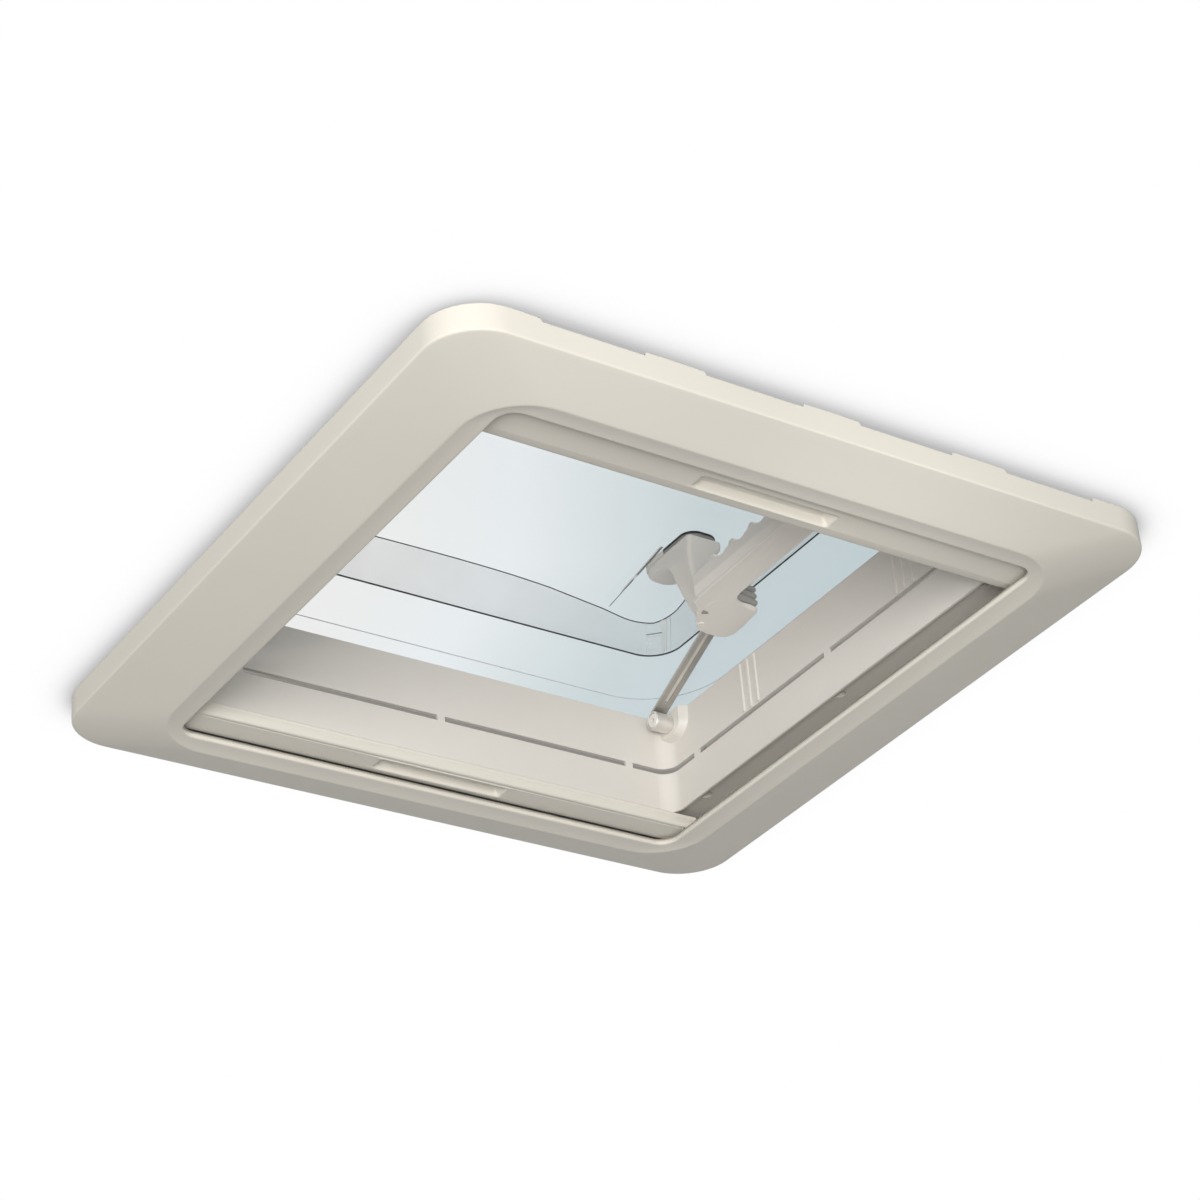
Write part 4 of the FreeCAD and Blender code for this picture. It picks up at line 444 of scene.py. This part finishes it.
SIDE_STEPS = sorted({*(s * v for v in (0.0, 60.0, 120.0) for s in (-1, 1)),
                     *(m + s * (NOTCH_HALF - 1 + e) for m in NOTCHES for s in (-1, 1)
                       for e in (-1.6, -1.1, -0.5, 0.1, 0.6))})
SIDE_STEPS = [v for v in SIDE_STEPS if abs(v) < RIM - RIM_CORNER - 0.5]


def rounded(half_x, half_y, corner, height):
    """Rounded rectangle; its points along a side keep their share of the side's length."""
    points = []
    wide, arc = RIM - RIM_CORNER, 12
    for turn, (sx, sy) in enumerate(((1, 1), (-1, 1), (-1, -1), (1, -1))):
        cx, cy = sx * (half_x - corner), sy * (half_y - corner)
        for step in range(arc + 1):
            a = math.radians(90 * turn + 90 * step / arc)
            points.append((cx + corner * math.cos(a), cy + corner * math.sin(a), height))
        run = half_x - corner if turn % 2 == 0 else half_y - corner
        for v in SIDE_STEPS:
            along = v / wide * run
            points.append(((-along, half_y, height), (-half_x, -along, height),
                           (along, -half_y, height), (half_x, along, height))[turn])
    return points


def mix3(a, b, share):
    return tuple(x + (y - x) * share for x, y in zip(a, b))


def bend(a, middle, b, steps):
    """Points on a smooth curve from a to b that leans on middle."""
    out = []
    for i in range(steps + 1):
        t = i / steps
        out.append(tuple(p * (1 - t) ** 2 + q * 2 * t * (1 - t) + r * t * t
                         for p, q, r in zip(a, middle, b)))
    return out


def smooth(low, high, value):
    t = min(max((value - low) / (high - low), 0), 1)
    return t * t * (3 - 2 * t)


# Interior frame: outer wall, rounded crease, wide bevel, ridge, cove and lip in one skin

def interior_frame():
    rim = (RIM, RIM, RIM_CORNER, CEILING)
    crease = (RIM, RIM, RIM_CORNER, CREASE_Z)
    ridge = (RIDGE_X, RIDGE_Y, RIDGE_CORNER, RIDGE_Z)
    lip = (LIP_X, LIP_Y, LIP_CORNER, LIP_Z)

    def beside(by, height):
        return (LIP_X + by, LIP_Y + by, LIP_CORNER + by, height)

    def inside_wall(height):
        return (RIM - WALL, RIM - WALL, RIM_CORNER - WALL, height)

    def cove(share):
        x, y, corner, _ = mix3(ridge, lip, share)
        return (x, y, corner, RIDGE_Z + (LIP_Z - RIDGE_Z) * (2 * share - share * share))

    def notch(points):
        """Shallow vents in the wall's upper edge, on the two sides along X."""
        out = []
        for x, y, z in points:
            if abs(y) > RIM - WALL - 1:
                near = min(abs(x - m) for m in NOTCHES)
                share = min(max((NOTCH_HALF - near) / NOTCH_SLOPE, 0), 1)
                share = share * share * (3 - 2 * share)
                z = min(z, CEILING - NOTCH_DEEP * share)
            out.append((x, y, z))
        return out

    wall_foot = mix3(crease, rim, 0.09)
    face_start, face_end = mix3(crease, ridge, 0.03), mix3(crease, ridge, 0.972)
    levels = [mix3(rim, wall_foot, share) for share in (0.0, 0.04, 0.2, 0.6)]
    levels += bend(wall_foot, crease, face_start, 9)
    levels += [mix3(face_start, face_end, share) for share in (0.12, 0.3, 0.5, 0.7, 0.88)]
    levels += bend(face_end, ridge, cove(0.07), 6)
    levels += [cove(share) for share in (0.15, 0.27, 0.4, 0.54, 0.68, 0.8)]
    levels += bend(beside(1.8, LIP_Z - 0.02), beside(0, LIP_Z), beside(0, LIP_Z + 1.5), 6)
    levels += [beside(0, LIP_TOP + 0.4), beside(0.3, LIP_TOP),
               (RIDGE_X + 12.5, RIDGE_Y + 12.5, RIDGE_CORNER + 2.5, LIP_TOP),
               inside_wall(CREASE_Z + WALL), inside_wall(CEILING)]
    loops = [rounded(*level) for level in levels]
    loops = [notch(loop) if level[3] > CEILING - NOTCH_DEEP - 0.1 else loop
             for loop, level in zip(loops, levels)]
    piece = rings("interior_frame", loops, "frame", "frame")
    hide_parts("ceiling_frame")


interior_frame()


# Blind bars: rounded section along X with a scooped finger grip in the underside

BEVEL, BEAD = 9.0, 5.2
BEVELLED = [(8.6, 0.05), (4.5, 0.75), (2.2, 1.35), (1.0, 1.75), (0.35, 2.3)]
BEADED = [(5.0, 0.05), (4.7, 0.6), (4.1, 0.6), (3.8, 0.05), (3.2, -0.2), (2.2, -0.3),
          (1.2, -0.1), (0.45, 0.6), (0.1, 1.7)]
GRIP_END, GRIP_WIDE, GRIP_DEEP, GRIP_RIM = 51, 14.0, 5.4, 0.3


def bar(name, side, front, reach, edge, body):
    """Its leading edge, with points measured from the front and the underside, takes reach."""
    back, under, over = BAR_BACK, BAR_UNDER, BAR_OVER
    section = [(back, over), (back, over - 4), (back, under + 1.2), (back - 0.4, under + 0.4),
               (back - 1.2, under)]
    stop = front + reach
    near, far = stop + 1.0, stop + 1.0 + GRIP_WIDE
    y = back - 1.2
    while y > stop + 0.25:
        y -= 0.5 if near - 2 < y < far + 2 else 2.0
        section.append((max(y, stop + 0.2), under))
    section += [(front + dy, under + dz) for dy, dz in edge]
    section += [(front, under + 3.1), (front, over - 3.4), (front + 0.5, over - 2.8),
                (front + 0.5, over - 1.2), (front, over - 0.6), (front + 0.3, over)]
    xs = {-BAR_HALF, BAR_HALF, -BAR_HALF + 0.6, BAR_HALF - 0.6}
    xs |= {float(v) for v in range(-200, 201, 25)}
    xs |= {s * (GRIP_END + v * 0.6) for s in (-1, 1) for v in range(-16, 5)}
    loops = []
    for x in sorted(xs):
        loop = []
        inset = 0.5 if abs(x) > BAR_HALF - 0.3 else 0
        along = smooth(51.5, 45.8, x) if x > 0 else smooth(51.0, 43.5, -x)
        for y, z in section:
            if z == under:
                across = smooth(near, near + 2.6, y) * smooth(far, far - 2.8, y)
                rim = smooth(near - 2.4, near - 0.9, y) * smooth(far + 2.2, far + 0.8, y)
                rim *= smooth(54.5, 52.0, abs(x))
                z = under + GRIP_DEEP * along * across - GRIP_RIM * rim * (1 - across)
            z = min(max(z, under - 0.4), over - inset) if inset else z
            loop.append((x, side * y, z))
        loops.append(loop)
    piece = capped(name + "_skin", loops, "frame", body)
    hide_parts(name)


bar("blackout_bar", -1, 172.0, BEVEL, BEVELLED, "blackout")
bar("flyscreen_bar", 1, 184.5, BEAD, BEADED, "flyscreen")


# Dome: painted shade lines along its folds, a grey band of painted reflection between two of them,
# painted highlight streaks in a corner

def step_ring(by, height):
    half, corner, z = DOME_STEP
    return rounded(half - by, half - by, corner - by, z + height)


def foot_ring(by, height):
    half, corner, z = DOME_FOOT
    return rounded(half + FOOT_LONGER - by, half - by, corner - by, z + height)


def sag_share(side):
    """Share of the drop that the dome's ceiling has at a place along one side."""
    return min(1.0, abs(side) / SAG_REACH) ** SAG_POWER


def ceiling_ring(by, height):
    """Ring under the inner dome's ceiling, which draws in towards the middle of each side."""
    half, corner, z = DOME_TOP
    points = []
    for x, y, level in rounded(half - by, half - by, corner - by, z + height):
        far, side = (x, y) if abs(x) > abs(y) else (y, x)
        far -= math.copysign(SAG_IN * (1 - sag_share(side)), far)
        level -= SAG_DOWN * sag_share(side)
        points.append((far, side, level) if abs(x) > abs(y) else (side, far, level))
    return points


# Painted shade: thin dark and grey rings along the dome's folds stand in for the dark edges the
# clear acrylic shows there
def fold_line(name, ring, radius, key):
    piece = rings(name, [ring(*place) for place in circle(radius, 6)], key, "dome")


# Painted reflection: a grey speckled skin over the band between the step fold and the ceiling fold,
# standing in for the reflection seen in the dome's sloped side
def reflection_band_skin():
    loops = []
    for inward in (0.45, 0.75):
        low, high = step_ring(inward, 0.2), ceiling_ring(inward, -0.2)
        run = [[mix3(p, q, share) for p, q in zip(low, high)]
               for share in (0.0, 0.25, 0.5, 0.75, 1.0)]
        loops += run if not loops else run[::-1]
    piece = rings("dome_painted_reflection", loops, "frost", "dome")


fold_line("dome_step_shade_line", step_ring, 0.65, "fold")
fold_line("dome_ceiling_shade_line", ceiling_ring, 0.45, "fold_pale")
fold_line("dome_foot_shade_line", foot_ring, 0.3, "fold_foot")
reflection_band_skin()


def in_corner(ring, turn):
    """Place (x, y) in a ring's rounded corner, a little inside it, at an angle in degrees."""
    half, corner, _ = ring
    inside, a = corner - 1.6, math.radians(turn)
    return half - corner + inside * math.cos(a), half - corner + inside * math.sin(a)


def on_veil_band(low_turn, high_turn, share):
    """Point just inside the band of painted reflection, at angles round the corner and a share of
    its height.
    """
    low = Vector((*in_corner(DOME_STEP, low_turn), DOME_STEP[2] + 1.0))
    x, y = in_corner(DOME_TOP, high_turn)
    high = Vector((x, y, DOME_TOP[2] - SAG_DOWN * sag_share(min(x, y)) - 1.0))
    return low.lerp(high, share)


def strip(name, start, end, wide, key, body="dome", side=None):
    """Thin bar between two points, a stand-in for light or shade caught in a surface."""
    along = (end - start).normalized()
    side = side or along.cross(Vector((0.707, 0.707, 0))).normalized()
    deep = along.cross(side)
    points = [tuple(tip + side * sx * wide + deep * sy * 0.2) for tip in (start, end)
              for sx, sy in ((-1, -1), (1, -1), (1, 1), (-1, 1))]
    piece = make_mesh(name, points, BOX_FACES, key, body, smooth=False)


def streaks():
    """Painted highlights: bright upright streaks where the rounded corner gathers the light, and a
    painted shade line with a painted highlight line bridging them.
    """
    for number, (low_turn, high_turn, wide) in enumerate(
            ((70, 55, 0.4), (37.5, 32, 1.5), (31, 28, 0.45), (21.5, 21.7, 0.3))):
        strip(f"dome_streak_{number}", on_veil_band(low_turn, high_turn, 0.0),
              on_veil_band(low_turn, high_turn, 1.0), wide, "streak")
    for name, share, key in (("dome_bridge_painted_shade", 0.62, "groove"),
                             ("dome_bridge_painted_highlight", 0.54, "streak")):
        strip(name, on_veil_band(69, 54, share), on_veil_band(39, 33, share), 0.35, key,
              side=Vector((0, 0, 1)))


def groove():
    """Line moulded in the dome's ceiling, from its edge to the handle's pad, drawn as painted shade
    with a painted highlight on one stretch and beside it.
    """
    across = Vector((1, 0, 0))
    start, end = Vector((150.6, 190.0, 122.6)), Vector((142.6, 108.0, 125.2))
    for number, (low, high, wide, key) in enumerate(
            ((0.0, 0.3, 0.25, "groove"), (0.3, 0.46, 0.5, "groove"),
             (0.46, 0.53, 0.7, "streak"), (0.53, 1.0, 0.75, "groove"))):
        strip(f"dome_groove_{number}", start.lerp(end, low), start.lerp(end, high), wide, key,
              side=across)
    strip("dome_groove_edge_highlight", start.lerp(end, 0.25) - across * 0.9, end - across * 1.5, 0.4,
          "streak", side=across)


streaks()
groove()
# Painted highlight: a strip of pale metal on the floor of the strap's channel, standing in for the
# light it catches
strip("stay_strap_channel_highlight", Vector((178.95, 62.6, 87.85)), Vector((178.95, 169.5, 37.95)), 1.3,
      "channel", "stay", Vector((1, 0, 0)))


# Handle: mouldings with soft edges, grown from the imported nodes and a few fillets

def prism(first, second, forward):
    """Closed prism between two outlines of the same count; forward gives its faces' turn."""
    count = len(first)
    near, far = tuple(range(count)), tuple(range(count, 2 * count))
    faces = [near[::-1], far] if forward else [near, far[::-1]]
    for i in range(count):
        k = (i + 1) % count
        faces.append((i, k, count + k, count + i) if forward else (i, count + i, count + k, k))
    return first + second, faces


def upright(outline, low, high):
    """Prism over an outline; low and high give a height for each (x, y)."""
    return prism([(x, y, low(x, y)) for x, y in outline],
                 [(x, y, high(x, y)) for x, y in outline], True)


def sideways(outline, x0, x1):
    """Prism along X over an outline of (y, z)."""
    return prism([(x0, y, z) for y, z in outline], [(x1, y, z) for y, z in outline], False)


def moulded(name, node, extra, voxel=0.75, rounds=8, cut=None):
    """Node's mesh and more closed meshes grown together, their edges rounded by smoothing."""
    mesh = nodes[node].data.copy()
    mesh.name = name
    work = bmesh.new()
    work.from_mesh(mesh)
    if cut:
        bmesh.ops.remove_doubles(work, verts=work.verts, dist=1e-6)
        made = bmesh.ops.bisect_plane(
            work, geom=work.verts[:] + work.edges[:] + work.faces[:], dist=1e-7,
            plane_co=Vector(cut[0]) * MM, plane_no=cut[1], clear_outer=True)
        rims = [item for item in made["geom_cut"] if isinstance(item, bmesh.types.BMEdge)]
        bmesh.ops.edgeloop_fill(work, edges=rims)
    for points, faces in extra:
        new = [work.verts.new(Vector(p) * MM) for p in points]
        made = [work.faces.new([new[i] for i in face]) for face in faces]
        bmesh.ops.recalc_face_normals(work, faces=made)
    work.to_mesh(mesh)
    work.free()
    rough = bpy.data.objects.new(name + "_rough", mesh)
    scene.collection.objects.link(rough)
    grow = rough.modifiers.new("grow", "REMESH")
    grow.mode = "VOXEL"
    grow.voxel_size = voxel * MM
    ease = rough.modifiers.new("ease", "SMOOTH")
    ease.factor, ease.iterations = 0.5, rounds
    thin = rough.modifiers.new("thin", "DECIMATE")
    thin.ratio = 0.4
    graph = bpy.context.evaluated_depsgraph_get()
    done = bpy.data.meshes.new_from_object(rough.evaluated_get(graph))
    bpy.data.objects.remove(rough)
    piece = bpy.data.objects.new(name, done)
    scene.collection.objects.link(piece)
    done.materials.clear()
    done.materials.append(materials["grip"])
    for polygon in done.polygons:
        polygon.use_smooth = True
    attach(piece, "dome")
    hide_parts(node)


HOOK = [(137.5, -60), (137.5, 66), (139.5, 72), (143.5, 77), (149, 81), (152, 88), (156, 95.5),
        (162, 101), (170, 103.5), (180, 103.5), (186, 101.5), (189, 96), (189, 80), (188, 71.5),
        (184.5, 65.5), (178, 62), (169, 58.8), (164, 56), (161.8, 51.5), (161, 45), (161, -60)]
HOOK_TOP = 60.05
CORE = [(139, -58), (160, -58), (160, 74), (139, 74)]
CORE_TOP = 63.0
RIDGES, RIDGE_FIRST, RIDGE_PITCH = (0, 1, 2, 3, 5), 41.65, 23.3
RIDGE_RADIUS, RIDGE_HEIGHT = 4.2, 74.4
CATCH = [(150.0, 77.2), (153.6, 77.4), (155.8, 79.0), (154.4, 80.6), (153.0, 80.4), (152.4, 82.0),
         (150.8, 80.8)]
REAR = [(-106, 98), (-108.5, 104), (-112, 109), (-117, 113), (-124, 115.6), (-132, 117),
        (-132, 119), (-106, 119)]


def handle():
    """Grip bar with finger ridges, its catch slot and the bracket at its far end."""
    def underside(_, y):
        return 60.0 - 3.0 * smooth(-60.0, 40.0, y)

    solids = [upright(HOOK, underside, lambda x, y: HOOK_TOP),
              upright(CORE, lambda x, y: underside(x, y) + 0.7, lambda x, y: CORE_TOP)]
    solids += [sideways([(RIDGE_FIRST - RIDGE_PITCH * k + y, RIDGE_HEIGHT + z)
                         for y, z in circle(RIDGE_RADIUS, 12)], 134.6, 156.0) for k in RIDGES]
    moulded("handle_moulding", "handle_grip", solids, voxel=0.6, rounds=5,
            cut=((152, 88, 60), (-0.793, 0.61, 0)))
    # Painted shade: a dark plate set inside the catch slot
    catch = make_mesh("handle_catch_slot_shade", *upright(CATCH, lambda x, y: 56.5, lambda x, y: 58.0),
                      "shade", "dome", smooth=False)
    moulded("rear_bracket_moulding", "rear_bracket", [sideways(REAR, 151.5, 174.5)], rounds=10)


handle()


def slab(z, x0, x1, y0, y1, corner):
    """Rounded rectangle at one height, with tighter corners on its flat near side."""
    points = []
    near = min(corner, 3.0)
    for turn, (sx, sy, r) in enumerate(((1, 1, corner), (0, 1, corner),
                                        (0, 0, near), (1, 0, near))):
        cx, cy = (x1 - r if sx else x0 + r), (y1 - r if sy else y0 + r)
        for step in range(9):
            a = math.radians(90 * turn + 90 * step / 8)
            points.append((cx + r * math.cos(a), cy + r * math.sin(a), z))
    return points


# The arm's levels: height, x from and to, y from and to, corner radius

ARM = [(60.5, 160.8, 170.6, 85, 97.5, 3), (63, 159.4, 170.9, 84.6, 98.2, 3.2),
       (67, 157.4, 171, 84.3, 99.2, 3.2), (72, 155.2, 171, 84, 100.5, 3.2),
       (80, 152.6, 171, 83.9, 102.6, 3.2), (90, 149.8, 171.2, 83.8, 104.8, 3.2),
       (98, 148, 171.5, 83.7, 106.4, 3.2), (103, 147.4, 171.8, 83.6, 108, 3.4),
       (107, 147.1, 172.2, 83.5, 110.4, 3.8), (110.5, 147.1, 172.8, 83.4, 114, 4.6),
       (113, 147.3, 173.6, 83.3, 118.6, 5.6), (115, 147.5, 174.6, 83.2, 125, 7),
       (116.4, 147.7, 175.6, 83.1, 132, 9), (117.4, 147.9, 176.4, 83.1, 138, 11),
       (118.6, 148, 177, 83, 142, 13), (120.4, 148, 177.4, 83, 144.4, 14),
       (122.4, 148, 177.5, 83, 145, 14.5), (124, 148, 177.5, 83, 145, 14.7)]
arm = capped("stay_bracket_moulding", [slab(*level) for level in ARM], "grip", "dome")
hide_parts("stay_bracket")


def button():
    """Thumb piece with three round ribs across its slanted face, and the stem behind it."""
    x0, x1, low, high, back = 163.8, 186.2, 60.7, 77.3, 63.8
    stem = (173.5, 180.5, 63.5, 73, 64, 71)
    ribs, steps, deep = 3, 42, 2.5
    loops = []
    for step in range(steps + 1):
        share = step / steps
        phase = share * ribs % 1 if step < steps else 1.0
        inset = deep * (1 - math.sqrt(max(0.0, 1 - (2 * phase - 1) ** 2)))
        z, left, right = low + (high - low) * share, x0 + inset, x1 - inset
        near, far = 56.6 + share + inset, 59.6 + share * 0.6 + inset
        line = [(left, back), *bend((left, near + 1.8), (left, near), (left + 2, near + 0.3), 5),
                *bend((right - 2, far - 0.3), (right, far), (right, far + 1.2), 5), (right, back)]
        loops.append([(x, y, z) for x, y in line])
    piece = capped("button_moulding", loops, "button", "button", [stem])
    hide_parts("release_button")


def button_cone():
    """The cone spring behind the button."""
    low, high = (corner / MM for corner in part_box("button_spring"))
    middle = (low + high) / 2
    wide, travel = (high.x - low.x) / 2, 4.2
    section = [(wide - 1.6, low.y), (wide - 0.8, low.y), (wide, high.y), (wide - 0.8, high.y)]
    loops = [[(middle.x + x, y, middle.z + z) for x, z in circle(radius, 48)]
             for radius, y in section]
    piece = rings("button_cone", loops, "dark", "dome")
    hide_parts("button_spring")
    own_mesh(piece)


button()
button_cone()


# Pleated cloth: folds spaced by the inverse of the smooth step

def even(share):
    """Place along the pack where the smooth step equals this share."""
    low, high = 0.0, 1.0
    for _ in range(40):
        middle = (low + high) / 2
        if smooth(0, 1, middle) < share:
            low = middle
        else:
            high = middle
    return (low + high) / 2


def pleats(name, side, key, label):
    """One fold line every half pleat, with two folds more than the solid, to reach all the way."""
    half = BAR_HALF - 3
    legs, parts, columns = 2 * (PLEATS + 2), 4, 40
    start, end = PACK_START + CLOTH / 2, PACK_START + PLEATS * PITCH - CLOTH / 2
    low, high = PACK_LOW + CLOTH / 2, PACK_LOW + PACK_DEEP - CLOTH / 2
    rows = [(end + (start - end) * even(leg / legs), high if leg % 2 else low)
            for leg in range(legs + 1)]
    line = [(y0 + (y1 - y0) * step / parts, z0 + (z1 - z0) * step / parts)
            for (y0, z0), (y1, z1) in zip(rows, rows[1:]) for step in range(parts)] + rows[-1:]
    points = [(-half + 2 * half * i / columns, side * y, z)
              for i in range(columns + 1) for y, z in line]
    count = len(line)
    faces = [(i * count + j, i * count + j + 1, (i + 1) * count + j + 1, (i + 1) * count + j)
             for i in range(columns) for j in range(count - 1)]
    piece = make_mesh(name, points, faces, key, None, smooth=False)
    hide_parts(label)
    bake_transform(piece)


pleats("blackout_blind", -1, "blackout", "blackout_pleats")
pleats("flyscreen_blind", 1, "screen", "flyscreen_pleats")


# Stage: the ceiling the hatch hangs from, with a painted shadow, and the edge of the roof's cut-out
# with a painted glow, from inside only

def stage_paint(name):
    """Empty material with the nodes that both stage pieces need."""
    material, tree, shader, out = new_material(name)
    tree.nodes.remove(shader)
    clear = put(tree, "ShaderNodeBsdfTransparent").outputs[0]
    is_camera = put(tree, "ShaderNodeLightPath").outputs["Is Camera Ray"]
    is_back = put(tree, "ShaderNodeNewGeometry").outputs["Backfacing"]
    return material, tree, out.inputs[0], clear, is_camera, is_back


def ceiling_board():
    far, hole = 2500, 215
    points = [(sx * half, sy * half, CEILING) for half in (far, hole)
              for sx, sy in ((-1, -1), (1, -1), (1, 1), (-1, 1))]
    faces = [(i, (i + 1) % 4, 4 + (i + 1) % 4, 4 + i) for i in range(4)]
    board = plain_mesh("ceiling_board", points, faces)
    material, tree, out, clear, is_camera, is_back = stage_paint("board_painted_shadow")
    # Painted shadow: the board's white glow drops near the frame, following an occlusion ramp
    near = put(tree, "ShaderNodeAmbientOcclusion", Distance=0.042, samples=16)
    level = spread(tree, near.outputs["AO"], 0.5, 1.0, 0.42, 0.97,
                   interpolation_type="SMOOTHSTEP")
    glow = put(tree, "ShaderNodeEmission")
    tree.links.new(level, glow.inputs["Strength"])
    seen = between(tree, is_camera, clear, glow.outputs[0])
    tree.links.new(between(tree, is_back, clear, seen), out)
    board.data.materials.append(material)


def cut_edge_glow():
    loops = [rounded(200.0, 200.0, 20.0, z) for z in (CEILING + 0.3, -0.5)]
    count = len(loops[0])
    faces = [(j, count + j, count + (j + 1) % count, (j + 1) % count) for j in range(count)]
    edge = plain_mesh("roof_cut_edge", loops[0] + loops[1], faces)
    material, tree, out, clear, is_camera, is_back = stage_paint("cut_edge_glow")
    # Painted light: the cut edge glows a fixed grey to camera rays, so the vent slots show mid grey
    # whatever the lamps do
    glow = put(tree, "ShaderNodeEmission", Color=(0.27, 0.255, 0.235, 1), Strength=1.0)
    front = maths(tree, "SUBTRACT", is_camera, is_back, clamp=True)
    tree.links.new(between(tree, front, clear, glow.outputs[0]), out)
    edge.data.materials.append(material)


ceiling_board()
cut_edge_glow()


# Light: a pale even surround, daylight over the dome and one soft lamp from below

SKY = ((0.39, (0.925, 0.92, 0.905)), (0.56, (0.56, 0.645, 0.67)), (0.437, (0.87, 0.90, 0.92)),
       (0.463, (0.75, 0.80, 0.81)), (0.495, (0.63, 0.70, 0.72)))


def towards(tree, place, way):
    """How far a direction leans the given way."""
    item = put(tree, "ShaderNodeVectorMath", operation="DOT_PRODUCT")
    tree.links.new(place, item.inputs[0])
    item.inputs[1].default_value = way
    return item.outputs["Value"]


def world():
    """White all round and a pale sky above for rays that see it; a plain level for light."""
    surround = bpy.data.worlds.new("surround")
    surround.use_nodes = True
    scene.world = surround
    tree = surround.node_tree
    tree.nodes.clear()
    out = put(tree, "ShaderNodeOutputWorld")
    lit = put(tree, "ShaderNodeBackground", Color=(1.0, 0.99, 0.97, 1), Strength=0.30)
    seen = put(tree, "ShaderNodeBackground", Strength=1.0)
    place = put(tree, "ShaderNodeTexCoord").outputs["Generated"]
    shift = spread(tree, towards(tree, place, (0.231, 0.471, -0.851)), 0.5, 0.55, -0.0128, 0.05)
    across = maths(tree, "ADD", towards(tree, place, (0.82, -0.55, -0.12)), shift)
    sky = ramp(tree, across, SKY[0][1], SKY[1][1], SKY[0][0], SKY[1][0])
    for stop, colour in SKY[2:]:
        sky.node.color_ramp.elements.new(stop).color = (*colour, 1)
    split = put(tree, "ShaderNodeSeparateXYZ")
    tree.links.new(place, split.inputs[0])
    above = spread(tree, split.outputs["Z"], 0.0, 1.0, 0.0, 0.25)
    tree.links.new(blended(tree, above, (1, 1, 1, 1), sky), seen.inputs["Color"])
    path = put(tree, "ShaderNodeLightPath").outputs
    sees = maths(tree, "MAXIMUM", path["Is Camera Ray"], path["Is Glossy Ray"])
    sees = maths(tree, "MAXIMUM", sees, path["Is Transmission Ray"])
    tree.links.new(between(tree, sees, lit.outputs[0], seen.outputs[0]), out.inputs[0])


def light(name, kind, where, target, power, colour, **settings):
    """Lamp aimed at a point and hidden from the camera."""
    data = bpy.data.lights.new(name, kind)
    data.energy, data.color = power, colour
    for key, value in settings.items():
        setattr(data, key, value)
    thing = bpy.data.objects.new(name, data)
    scene.collection.objects.link(thing)
    thing.location = where
    thing.rotation_euler = (Vector(target) - Vector(where)).to_track_quat("-Z", "Y").to_euler()
    thing.visible_camera = False


world()
WARM, MIDDLE = (1.0, 0.99, 0.97), (0, 0, 0)
light("soft_front", "AREA", (-1.435, -1.872, -0.833), MIDDLE, 58, WARM, shape="SQUARE", size=1.1)
light("handle_fill", "SPOT", (-0.08, -0.56, -0.36), (0.155, 0.05, 0.09), 3.6, WARM,
      spot_size=math.radians(20), spot_blend=0.8, shadow_soft_size=0.1)
light("daylight", "AREA", (0.3, -0.2, 1.6), MIDDLE, 8, (0.97, 0.99, 1.0), shape="SQUARE", size=1.2)


# Camera: where the photograph was taken from

def camera():
    data = bpy.data.cameras.new("photo_camera")
    data.lens = 93.39
    data.sensor_width = 36
    data.clip_start, data.clip_end = 0.05, 20
    thing = bpy.data.objects.new("photo_camera", data)
    scene.collection.objects.link(thing)
    right = Vector((0.83670653, -0.54273817, -0.07319464))
    up = Vector((-0.2309583, -0.47087959, 0.85142861))
    ahead = Vector((0.49656867, 0.69549097, 0.51933792))
    turn = Matrix((right, up, -ahead)).transposed().to_4x4()
    thing.matrix_world = Matrix.Translation((-1.00087, -1.41107, -1.07003)) @ turn
    scene.camera = thing


camera()
scene.view_settings.view_transform = "Standard"
